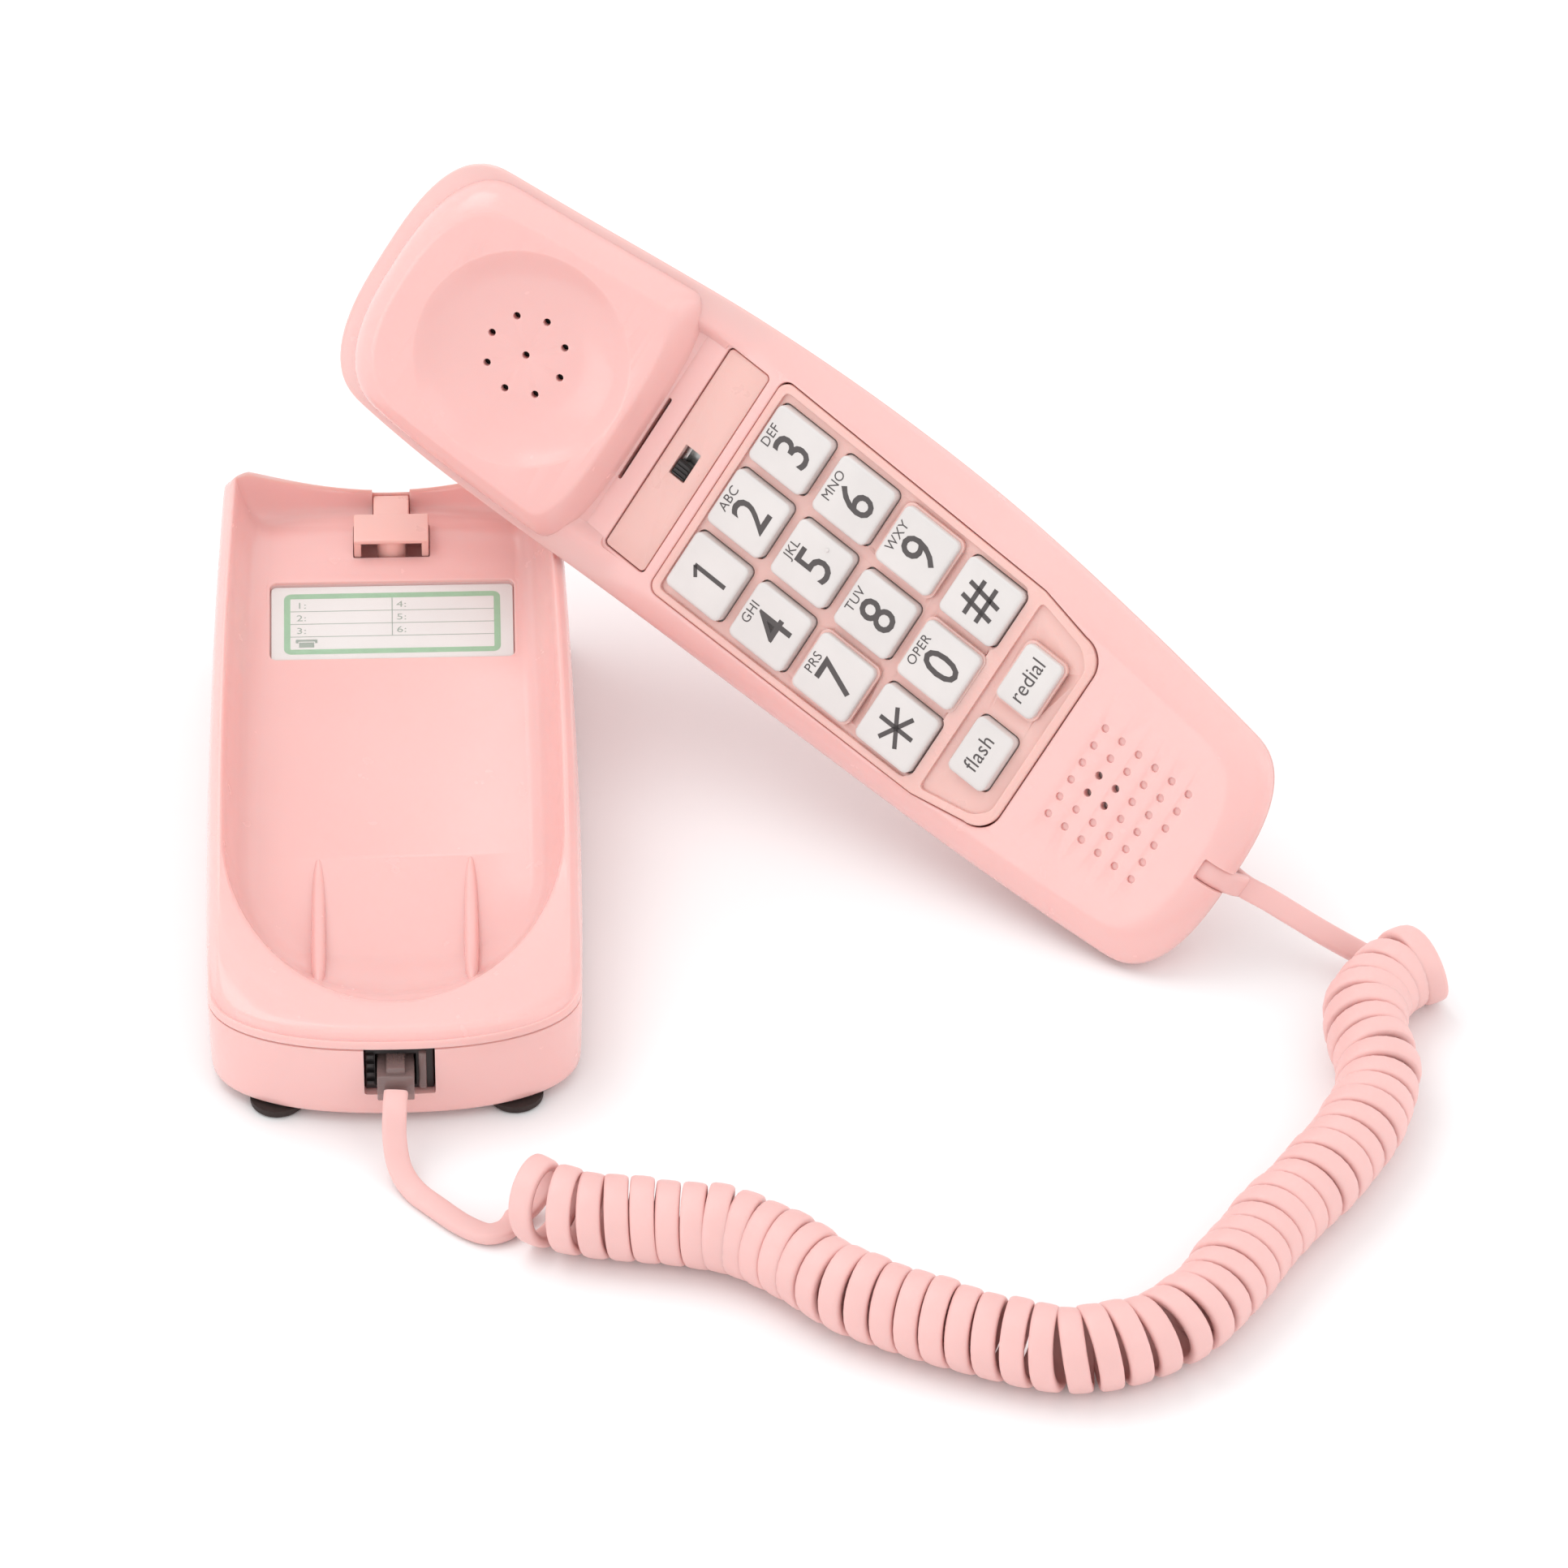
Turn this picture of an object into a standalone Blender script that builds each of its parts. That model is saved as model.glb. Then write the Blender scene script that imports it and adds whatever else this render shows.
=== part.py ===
"""Compact bedroom telephone: a base with a cradle, a handset with a keypad, and a curly cord.

Frame: +Z up, the phone stands on Z = 0. The base's front, with its jack, faces -Y.
The handset is off the hook: it stands on its long edge and leans over the base's rear right corner.
"""
import math

import bmesh
import bpy
from mathutils import Euler, Matrix, Vector

MM = 0.001
GAP = 0.3 * MM               # play between two pieces that touch

# ---- base -------------------------------------------------------------------------------------
BASE_AT = Vector((-72.03, -90.66, 0.0)) * MM     # middle of the base's front edge, in the part's frame
BASE_LENGTH = 165 * MM
BASE_HALF_WIDTH = 39.0 * MM
BASE_TAPER = 0.29 / MM / 1000                  # how fast the sides draw in, per metre
WALL = 2.4 * MM
FOOT_HEIGHT = 2.2 * MM
SEAM_Z = 20.1 * MM                             # joint between the two base shells
RIM_FRONT_Z = 24.0 * MM
RIM_BACK_Z = 48.6 * MM
SADDLE_Z = 39.4 * MM                           # lowest point of the back wall's curved top
FLOOR_MIN_Z = 12.0 * MM
FLOOR_SLOPE = 0.2
LEDGE_Y = 153.3 * MM
LEDGE_Z = 35.0 * MM
BACK_WALL_Y = 162.5 * MM
CARD_HALF = (25.7 * MM, 10.4 * MM)
CARD_Y = 129.6 * MM
CARD_DEPTH = 1.6 * MM
HOOK_Y = 149.6 * MM
HOOK_HALF = (8.0 * MM, 5.9 * MM)
HOOK_TOP_Z = 38.0 * MM
HOOK_TRAVEL = 4.5 * MM
PEG_Y = 147.6 * MM
JACK_X = 0.8 * MM                              # the opening sits a little to the right of the plug
JACK_HALF = 7.3 * MM
JACK_Z = (8.0 * MM, 19.7 * MM)
PLUG_HALF = 3.82 * MM                          # a 4P4C plug is 7.65 mm wide
FEET = [(-24.5 * MM, 8.2 * MM), (24.5 * MM, 8.2 * MM), (-26 * MM, 152 * MM), (26 * MM, 152 * MM)]
BASE_SCREWS = [(-22 * MM, 46 * MM), (22 * MM, 46 * MM), (-28 * MM, 128 * MM), (28 * MM, 128 * MM)]
LINE_JACK_X = -17 * MM

# ---- handset: x across, y towards the ear, z out of the keypad; origin amid the twelve keys ------
HANDSET_AT = Vector((95.85, 106.6, 54.3)) * MM      # from the base's front edge
HANDSET_TURN = (17.24, -57.94, 50.00)                # pitch, roll and heading, in degrees
HALF_WIDTH = 34.75 * MM
WIDTH_TAPER = 0.53
MOUTH_Y, EAR_Y = -103.1 * MM, 121.6 * MM
# (y, z) in millimetres of the line where the handset is widest, which is also where its shells part
WIDEST = [(-110, -4.0), (-85, -5.0), (-55, -7.0), (-15, -9.0), (20, -6.0), (50, 0.0), (70, 6.5), (90, 12.5),
          (108, 15.5), (125, 16.5)]
# (y, z) in millimetres of the middle of the back
BACK = [(-110, -15), (-95, -19), (-60, -24), (0, -27.5), (55, -27), (90, -20), (110, -8), (125, 3)]
BACK_LEAN = 0.3              # how far the back's sides draw in for their depth
SHELL = 2.3 * MM
PLATEAU_Y = (59.2 * MM, 111.0 * MM)          # the flat top around the earpiece bowl, mouth side to ear side
PLATEAU_INSET = 6.6 * MM                     # from the outline to the flat top's edge
PLATEAU_Z = 10.4 * MM
PLATEAU_SLOPE = math.tan(math.radians(15.5))
DISH_Y = 82.4 * MM
RING_RADIUS, EAR_HOLE = 8.6 * MM, 0.8 * MM
KEY_PITCH = (16.6 * MM, 17.7 * MM)
KEY_HALF = (6.95 * MM, 7.4 * MM)
KEY_TOP = 2.3 * MM
KEY_TRAVEL = 1.3 * MM
FUNCTION_Y, FUNCTION_X, FUNCTION_HALF = -44.9 * MM, 9.5 * MM, (6.85 * MM, 4.95 * MM)
BEZEL_TOP, BEZEL_WAIST, BEZEL_END = 36.7 * MM, -36.4 * MM, -55.1 * MM
BEZEL_HALF = (27.4 * MM, 26.4 * MM, 23.9 * MM)
PANEL_Y, PANEL_HALF = 45.1 * MM, (25.6 * MM, 5.35 * MM)
KNOB_SLOT_X, KNOB_SLOT_HALF = -0.95 * MM, (3.6 * MM, 2.05 * MM)
KNOB_TRAVEL = 3.3 * MM
MIC_Y, MIC_PITCH = -75.0 * MM, (4.45 * MM, 4.55 * MM)
HANG_SLOT_X, HANG_SLOT_Y = -1.9 * MM, 55.5 * MM
HANDSET_SCREWS = [(0, -59.2 * MM), (0, 64.5 * MM)]

# ---- cord: points from the base's front edge, in millimetres ---------------------------------------
LEAD_RADIUS = 1.5 * MM
COIL_RADIUS = 8.2 * MM
LEAD_BASE = [(0, -4.6, 12.6), (-0.3, -8.5, 11.2), (-0.4, -12.5, 7.0), (0.6, -17.5, 3.4), (3.4, -22.0, 2.0),
             (8.0, -26.4, 1.8), (13.5, -29.0, 2.4), (18.0, -30.0, 5.2), (20.0, -30.3, 8.1), (22.9, -31.1, 8.5)]
COIL = [(24.0, -31.5, 8.5), (33, -34.5, 8.5), (45, -39.2, 8.5), (58, -42.0, 8.5), (69, -44.4, 8.5),
        (80, -54.0, 8.5), (91, -64.5, 8.5), (106, -73.0, 8.5), (122, -80.0, 8.5), (135, -83.5, 8.5),
        (149, -80.2, 8.5), (160, -72.0, 8.5), (169, -59.0, 8.5), (177, -46.0, 8.5), (189, -30.0, 8.5),
        (198, -14.0, 8.5), (201.5, 0.0, 8.5), (200.0, 12.0, 8.5), (201.0, 22.0, 8.5), (207, 31.0, 8.5),
        (214, 35.0, 8.5)]
LEAD_HANDSET = [(214.6, 35.35, 8.5), (219.0, 38.2, 7.6), (222.6, 42.4, 4.6), (219.5, 46.2, 2.6), (213.5, 47.5, 2.2),
                (206.5, 45.5, 2.9), (200.2, 43.2, 5.6), (194.7, 43.0, 9.7), (187.9, 44.5, 13.9), (181.1, 46.8, 17.3),
                (177.0, 49.3, 18.2), (174.3, 51.6, 19.25)]


# ---- scene and materials ------------------------------------------------------------------------

def empty_scene():
    for obj in list(bpy.data.objects):
        bpy.data.objects.remove(obj, do_unlink=True)


def new_collection(name):
    collection = bpy.data.collections.new(name)
    bpy.context.scene.collection.children.link(collection)
    return collection


def material(name, color, roughness, metallic=0.0, alpha=1.0):
    found = bpy.data.materials.get(name)
    if found:
        return found
    mat = bpy.data.materials.new(name)
    mat.use_nodes = True
    shader = mat.node_tree.nodes["Principled BSDF"]
    shader.inputs["Base Color"].default_value = (*color, 1.0)
    shader.inputs["Roughness"].default_value = roughness
    shader.inputs["Metallic"].default_value = metallic
    shader.inputs["Alpha"].default_value = alpha
    return mat


def pink():
    return material("pink_plastic", (0.93, 0.60, 0.56), 0.25)


def key_grey():
    return material("key_grey", (0.68, 0.64, 0.62), 0.35)


def black():
    return material("black_plastic", (0.02, 0.018, 0.018), 0.4)


def smoky():
    return material("smoky_clear", (0.30, 0.21, 0.20), 0.1, alpha=0.6)


def rubber():
    return material("foot_rubber", (0.03, 0.018, 0.016), 0.7)


def membrane_rubber():
    return material("membrane_rubber", (0.35, 0.35, 0.36), 0.6)


def steel():
    return material("steel", (0.55, 0.55, 0.56), 0.3, metallic=1.0)


def circuit_board():
    return material("circuit_board", (0.04, 0.16, 0.06), 0.5)


def card_paper():
    return material("card_paper", (0.80, 0.76, 0.74), 0.6)


def window_clear():
    return material("window_clear", (0.85, 0.86, 0.86), 0.05, alpha=0.3)


def cord_pink():
    return material("cord_pink", (0.84, 0.52, 0.49), 0.4)


# ---- building blocks ----------------------------------------------------------------------------

def finish_mesh(name, bm, mat, collection, parent=None):
    bmesh.ops.recalc_face_normals(bm, faces=bm.faces)
    if bm.calc_volume(signed=True) < 0:
        bmesh.ops.reverse_faces(bm, faces=bm.faces)
    mesh = bpy.data.meshes.new(name)
    bm.to_mesh(mesh)
    bm.free()
    mesh.shade_smooth()
    mesh.set_sharp_from_angle(angle=math.radians(35))
    obj = bpy.data.objects.new(name, mesh)
    if mat:
        mesh.materials.append(mat)
    collection.objects.link(obj)
    obj.parent = parent
    return obj


def loft(name, rings, mat, collection, parent=None):
    """Rings of equally many points, joined in order. Both end rings are closed by a ladder of quads."""
    bm = bmesh.new()
    verts = [[bm.verts.new(p) for p in ring] for ring in rings]
    count = len(rings[0])
    for low, high in zip(verts, verts[1:]):
        for i in range(count):
            j = (i + 1) % count
            bm.faces.new((low[i], low[j], high[j], high[i]))
    for ring in (verts[0], verts[-1]):
        half = count // 2
        bm.faces.new((ring[0], ring[1], ring[-1]))
        bm.faces.new((ring[half - 1], ring[half], ring[half + 1]))
        for i in range(1, half - 1):
            bm.faces.new((ring[i], ring[i + 1], ring[count - i - 1], ring[count - i]))
    return finish_mesh(name, bm, mat, collection, parent)


def box(name, low, high, mat, collection, parent=None, bevel=0.0):
    bm = bmesh.new()
    size = Vector(high) - Vector(low)
    middle = (Vector(high) + Vector(low)) / 2
    bmesh.ops.create_cube(bm, size=1.0, matrix=Matrix.Translation(middle) @ Matrix.Diagonal((*size, 1.0)))
    obj = finish_mesh(name, bm, mat, collection, parent)
    if bevel:
        add_bevel(obj, bevel)
    return obj


def cylinder(name, centre, radius, height, mat, collection, parent=None, sides=24, bevel=0.0, tilt=None):
    """A cylinder that starts at centre and runs up its own z by height."""
    bm = bmesh.new()
    turn = tilt.to_4x4() if tilt else Matrix.Identity(4)
    place = Matrix.Translation(Vector(centre)) @ turn @ Matrix.Translation((0, 0, height / 2))
    bmesh.ops.create_cone(bm, cap_ends=True, segments=sides, radius1=radius, radius2=radius, depth=height,
                          matrix=place)
    obj = finish_mesh(name, bm, mat, collection, parent)
    if bevel:
        add_bevel(obj, bevel)
    return obj


def add_bevel(obj, width, segments=1):
    bevel = obj.modifiers.new("bevel", "BEVEL")
    bevel.width = width
    bevel.segments = segments
    bevel.limit_method = "ANGLE"
    bevel.angle_limit = math.radians(50)


def boolean(obj, cutter, operation="DIFFERENCE"):
    cutter.hide_render = True
    cutter.display_type = "WIRE"
    mod = obj.modifiers.new(operation.lower(), "BOOLEAN")
    mod.operation = operation
    mod.solver = "EXACT"
    mod.object = cutter


def superellipse(centre, half, power, count, height):
    """A rounded rectangle as a ring; height is a number or a function of x and y."""
    points = []
    for i in range(count):
        t = -math.pi / 2 + 2 * math.pi * i / count
        c, s = math.cos(t), math.sin(t)
        x = centre[0] + half[0] * math.copysign(abs(c) ** (2 / power), c)
        y = centre[1] + half[1] * math.copysign(abs(s) ** (2 / power), s)
        points.append((x, y, height(x, y) if callable(height) else height))
    return points


def long_outline(start, end, half_width, stations, height):
    """A closed plan outline, symmetric about x = 0, with a superellipse arc at each end.

    start and end are (y, depth, power); stations are the y values of the points along the sides,
    drawn in to the room that the two arcs leave.
    """
    y0, depth0, power0 = start
    y1, depth1, power1 = end
    low, high = y0 + depth0 + 2 * MM, y1 - depth1 - 2 * MM
    room = (high - low) / (stations[-1] - stations[0])
    stations = [low + (y - stations[0]) * room for y in stations]
    half = []
    arc_steps = 9
    for k in range(arc_steps + 1):
        t = math.pi / 2 * k / arc_steps
        y = y0 + depth0 * (1 - math.cos(t) ** (2 / power0))
        half.append((half_width(y) * math.sin(t) ** (2 / power0), y))
    half += [(half_width(y), y) for y in stations]
    for k in range(arc_steps - 2, -1, -1):
        t = math.pi / 2 * k / (arc_steps - 2)
        y = y1 - depth1 * (1 - math.cos(t) ** (2 / power1))
        half.append((half_width(y) * math.sin(t) ** (2 / power1), y))
    outline = half + [(-x, y) for x, y in reversed(half[1:-1])]
    return [(x, y, height(x, y) if callable(height) else height) for x, y in outline]


def blend_rings(first, second, share):
    return [tuple(Vector(a).lerp(Vector(b), share)) for a, b in zip(first, second)]


def with_height(ring, height):
    return [(x, y, height(x, y)) for x, y, _ in ring]


def rounded_rectangle(half, radius, centre=(0, 0), steps=3):
    points = []
    corners = [(1, -1, -90), (1, 1, 0), (-1, 1, 90), (-1, -1, 180)]
    for sx, sy, start in corners:
        cx = centre[0] + sx * (half[0] - radius)
        cy = centre[1] + sy * (half[1] - radius)
        for k in range(steps + 1):
            a = math.radians(start + 90 * k / steps)
            points.append((cx + radius * math.cos(a), cy + radius * math.sin(a)))
    return points


def prism(name, outline, low, high, mat, collection, parent=None, top_inset=None, bevel=0.0):
    """An outline raised from low to high; top_inset adds a domed top as (inset, rise) steps."""
    bm = bmesh.new()
    layers = [[bm.verts.new((x, y, low)) for x, y in outline]]
    layers.append([bm.verts.new((x, y, high)) for x, y in outline])
    middle_x = sum(x for x, _ in outline) / len(outline)
    middle_y = sum(y for _, y in outline) / len(outline)
    reach = max(x for x, _ in outline) - middle_x
    for inset, rise in top_inset or []:
        share = 1 - inset / reach
        layers.append([bm.verts.new((middle_x + (x - middle_x) * share, middle_y + (y - middle_y) * share,
                                     high + rise)) for x, y in outline])
    count = len(outline)
    for lower, upper in zip(layers, layers[1:]):
        for i in range(count):
            j = (i + 1) % count
            bm.faces.new((lower[i], lower[j], upper[j], upper[i]))
    bm.faces.new(layers[0])
    bm.faces.new(layers[-1])
    obj = finish_mesh(name, bm, mat, collection, parent)
    if bevel:
        add_bevel(obj, bevel)
    return obj


def smooth_points(points, spacing):
    """Points at even spacing along a Catmull-Rom curve through the given points."""
    knots = [Vector(p) * MM for p in points]
    knots = [2 * knots[0] - knots[1]] + knots + [2 * knots[-1] - knots[-2]]
    dense = []
    for a, b, c, d in zip(knots, knots[1:], knots[2:], knots[3:]):
        for k in range(16):
            t = k / 16
            dense.append(0.5 * (2 * b + (c - a) * t + (2 * a - 5 * b + 4 * c - d) * t ** 2
                                + (3 * b - a - 3 * c + d) * t ** 3))
    dense.append(knots[-2])
    total = sum((q - p).length for p, q in zip(dense, dense[1:]))
    count = max(2, round(total / spacing))
    result, walked, target = [dense[0]], 0.0, total / count
    for p, q in zip(dense, dense[1:]):
        step = (q - p).length
        while walked + step >= target * len(result) and len(result) < count:
            result.append(p.lerp(q, (target * len(result) - walked) / step))
        walked += step
    return result + [dense[-1]]


def tube(name, points, radius, mat, collection, resolution=2):
    curve = bpy.data.curves.new(name, "CURVE")
    curve.dimensions = "3D"
    curve.bevel_depth = radius
    curve.bevel_resolution = resolution
    curve.use_fill_caps = True
    spline = curve.splines.new("POLY")
    spline.points.add(len(points) - 1)
    for point, place in zip(spline.points, points):
        point.co = (*place, 1.0)
    curve.materials.append(mat)
    obj = bpy.data.objects.new(name, curve)
    collection.objects.link(obj)
    return obj


def drill(name, places, radius, height, cutters, parent, sides=10, turn=0.0):
    """One cutter of several pins; each place is a matrix for the pin's foot."""
    bm = bmesh.new()
    for place in places:
        spin = Matrix.Rotation(turn, 4, "Z")
        bmesh.ops.create_cone(bm, cap_ends=True, segments=sides, radius1=radius, radius2=radius, depth=height,
                              matrix=place @ Matrix.Translation((0, 0, height / 2)) @ spin)
    return finish_mesh(name, bm, None, cutters, parent)


def turned(name, profile, centre, mat, collection, parent=None, steps=24, tilt=None):
    """A profile of (radius, z) points, closed on its axis and turned about z."""
    mesh = bpy.data.meshes.new(name)
    mesh.from_pydata([(r, 0, z) for r, z in profile], [(i, i + 1) for i in range(len(profile) - 1)], [])
    mesh.materials.append(mat)
    obj = bpy.data.objects.new(name, mesh)
    collection.objects.link(obj)
    obj.parent = parent
    obj.matrix_local = Matrix.Translation(Vector(centre)) @ (tilt.to_4x4() if tilt else Matrix.Identity(4))
    screw = obj.modifiers.new("turn", "SCREW")
    screw.steps = screw.render_steps = steps
    screw.use_merge_vertices = True
    screw.merge_threshold = 0.00001
    return obj


def screw_piece(name, head_centre, head_radius, head_height, shank_radius, length, collection, parent=None):
    """A pan-head screw whose shank runs up z from the head."""
    profile = [(0, length), (shank_radius * 0.5, length), (shank_radius, length - 1.5 * MM),
               (shank_radius, head_height), (head_radius, head_height), (head_radius, 0.2 * MM),
               (head_radius - 0.2 * MM, 0), (0, 0)]
    return turned(name, profile, head_centre, steel(), collection, parent, steps=12)


# ---- base: its surfaces as functions ----------------------------------------------------------------

SIDE_STATIONS = [y * MM for y in (62, 78, 94, 110, 124, 138, 147)] + [LEDGE_Y, 156 * MM]


def base_half_width(y):
    return BASE_HALF_WIDTH - BASE_TAPER * (y - 60 * MM) ** 2


def rim_z(x, y):
    side = RIM_FRONT_Z + (RIM_BACK_Z - RIM_FRONT_Z) * max(y - 12 * MM, 0) / (BASE_LENGTH - 12 * MM)
    if y < 157 * MM:
        return side
    return min(side, SADDLE_Z + (RIM_BACK_Z - SADDLE_Z) * (x / (32 * MM)) ** 2)


def floor_z(y):
    if y > LEDGE_Y:
        return LEDGE_Z - 0.4 * MM
    return max(FLOOR_MIN_Z, LEDGE_Z - FLOOR_SLOPE * (LEDGE_Y - y))


def outer_ring(inset, height):
    return long_outline((inset, 18 * MM, 2.3), (BASE_LENGTH - inset, 7 * MM, 2),
                        lambda y: base_half_width(y) - inset, SIDE_STATIONS, height)


def inner_ring(front, depth, inset, back, height, back_depth=5 * MM):
    return long_outline((front, depth, 2), (back, back_depth, 2),
                        lambda y: base_half_width(y) - inset, SIDE_STATIONS, height)


def between(share):
    """Height at a share of the way from the cradle's floor up to its rim."""
    return lambda x, y: floor_z(y) + share * (rim_z(x, y) - floor_z(y))


def below_floor(drop, lowest=0.0):
    return lambda x, y: max(floor_z(y) - drop, lowest)


def base_upper_shell(parts, cutters, base):
    lip = outer_ring(0, SEAM_Z)
    wall = outer_ring(0.3 * MM, lambda x, y: (SEAM_Z + rim_z(x, y)) / 2)
    shoulder = outer_ring(0.9 * MM, lambda x, y: rim_z(x, y) - 2.2 * MM)
    edge = outer_ring(2.0 * MM, lambda x, y: rim_z(x, y) - 0.6 * MM)
    inner_edge = inner_ring(11.8 * MM, 46 * MM, 3.6 * MM, BACK_WALL_Y, lambda x, y: rim_z(x, y) - 0.8 * MM)
    crown = [with_height(blend_rings(edge, inner_edge, share), rim_z) for share in (0.35, 0.75)]
    inside = [inner_ring(13 * MM, 45 * MM, 3.9 * MM, 162.4 * MM, between(0.85)),
              inner_ring(19 * MM, 40 * MM, 5.0 * MM, 162.2 * MM, between(0.5)),
              inner_ring(27 * MM, 32 * MM, 7.5 * MM, 161.6 * MM, between(0.12)),
              inner_ring(36 * MM, 24 * MM, 11 * MM, 159.5 * MM, between(0), 3 * MM)]
    under = [inner_ring(36 * MM, 24 * MM, 11 * MM, 159.5 * MM, below_floor(WALL), 3 * MM),
             inner_ring(26 * MM, 32 * MM, 8 * MM, 160.5 * MM, below_floor(1.6 * MM)),
             inner_ring(17.2 * MM, 40 * MM, 4.6 * MM, 161.4 * MM, below_floor(0.6 * MM, 16.4 * MM)),
             inner_ring(13.4 * MM, 44 * MM, 2.7 * MM, 162.3 * MM, below_floor(2 * MM, 20.2 * MM))]
    rings = under + [outer_ring(WALL, SEAM_Z), lip, wall, shoulder, edge] + crown + [inner_edge] + inside[:-1]
    rings.append(inside[-1])
    shell = loft("base_upper_shell", rings, pink(), parts, base)
    cut_card_recess(shell, cutters, base)
    cut_hook_opening(shell, cutters, base)
    add_cradle_ribs(shell, cutters, base)
    add_screw_bosses(shell, cutters, base)
    return shell


def card_frame():
    """Place and tilt of the card: its middle on the sloping floor."""
    tilt = Matrix.Rotation(math.atan(FLOOR_SLOPE), 4, "X")
    return Matrix.Translation((0, CARD_Y, floor_z(CARD_Y))) @ tilt


def cut_card_recess(shell, cutters, base):
    outline = rounded_rectangle((CARD_HALF[0] + GAP, CARD_HALF[1] + GAP), 1.5 * MM)
    cutter = prism("card_recess_cutter", outline, -CARD_DEPTH, 10 * MM, None, cutters, base)
    cutter.matrix_local = card_frame()
    boolean(shell, cutter)


def cut_hook_opening(shell, cutters, base):
    wide = box("hook_opening_cutter", (-HOOK_HALF[0] - 0.6 * MM, 141.4 * MM, 20 * MM),
               (HOOK_HALF[0] + 0.6 * MM, HOOK_Y + HOOK_HALF[1] + 0.6 * MM, 60 * MM), None, cutters, base)
    boolean(shell, wide)
    narrow = box("hook_tongue_cutter", (-4.4 * MM, HOOK_Y, 30.6 * MM), (4.4 * MM, 180 * MM, 60 * MM),
                 None, cutters, base)
    boolean(shell, narrow)


def add_cradle_ribs(shell, cutters, base):
    for side in (-1, 1):
        x = side * 15.9 * MM
        rings = [superellipse((x, 46 * MM), (half, 20 * MM), 4, 16, height)
                 for half, height in ((1.6 * MM, lambda x, y: floor_z(y) - 1.2 * MM), (1.1 * MM, rib_top))]
        rib = loft("rib_%s" % ("left" if side < 0 else "right"), rings, None, cutters, base)
        boolean(shell, rib, "UNION")


def rib_top(x, y):
    return floor_z(y) + 0.2 * MM + 4.2 * MM * (66 * MM - y) / (40 * MM)


def add_screw_bosses(shell, cutters, base):
    for i, (x, y) in enumerate(BASE_SCREWS):
        low = 6.0 * MM
        boss = cylinder("boss_%d" % i, (x, y, low), 3.2 * MM, floor_z(y) - 2 * MM - low, None, cutters, base, 16)
        boolean(shell, boss, "UNION")
    for i, (x, y) in enumerate(BASE_SCREWS):
        bore = cylinder("boss_bore_%d" % i, (x, y, 0), 1.3 * MM + GAP, 11.2 * MM if y < 90 * MM else 16.5 * MM,
                        None, cutters, base, 12)
        boolean(shell, bore)


def base_lower_shell(parts, cutters, base):
    top = SEAM_Z - GAP
    floor = FOOT_HEIGHT + WALL
    rings = [outer_ring(9 * MM, FOOT_HEIGHT), outer_ring(1.4 * MM, FOOT_HEIGHT),
             outer_ring(0.5 * MM, FOOT_HEIGHT + 0.5 * MM), outer_ring(0.3 * MM, 6 * MM), outer_ring(0.1 * MM, 12 * MM),
             outer_ring(0, top), outer_ring(WALL, top), outer_ring(2.8 * MM, 7.5 * MM), outer_ring(4.2 * MM, floor),
             outer_ring(9 * MM, floor)]
    shell = loft("base_lower_shell", rings, pink(), parts, base)
    for i, (x, y) in enumerate(BASE_SCREWS):
        bore = cylinder("screw_bore_%d" % i, (x, y, 0), 1.6 * MM, 8 * MM, None, cutters, base, 12)
        seat = cylinder("screw_seat_%d" % i, (x, y, 0), 3.1 * MM, FOOT_HEIGHT + 1.3 * MM, None, cutters, base, 16)
        boolean(shell, bore)
        boolean(shell, seat)
    front = box("front_jack_cutter", (JACK_X - JACK_HALF, -5 * MM, JACK_Z[0]), (JACK_X + JACK_HALF, 6 * MM, 30 * MM),
                None, cutters, base)
    rear = box("rear_jack_cutter", (LINE_JACK_X - 8 * MM, 158 * MM, 7.7 * MM),
               (LINE_JACK_X + 8 * MM, 175 * MM, 30 * MM), None, cutters, base)
    boolean(shell, front)
    boolean(shell, rear)
    for i in range(5):
        y = (43 + 6 * i) * MM
        slot = box("sound_slot_%d" % i, (-9 * MM, y, 0), (9 * MM, y + 1.8 * MM, 8 * MM), None, cutters, base)
        boolean(shell, slot)
    return shell


def base_feet(parts, base):
    profile = [(0, 1.9), (5.7, 1.9), (5.7, 0.6), (5.2, 0), (0, 0)]
    for i, (x, y) in enumerate(FEET, 1):
        turned("foot_%d" % i, [(r * MM, z * MM) for r, z in profile], (x, y, 0), rubber(), parts, base, steps=20)


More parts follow.
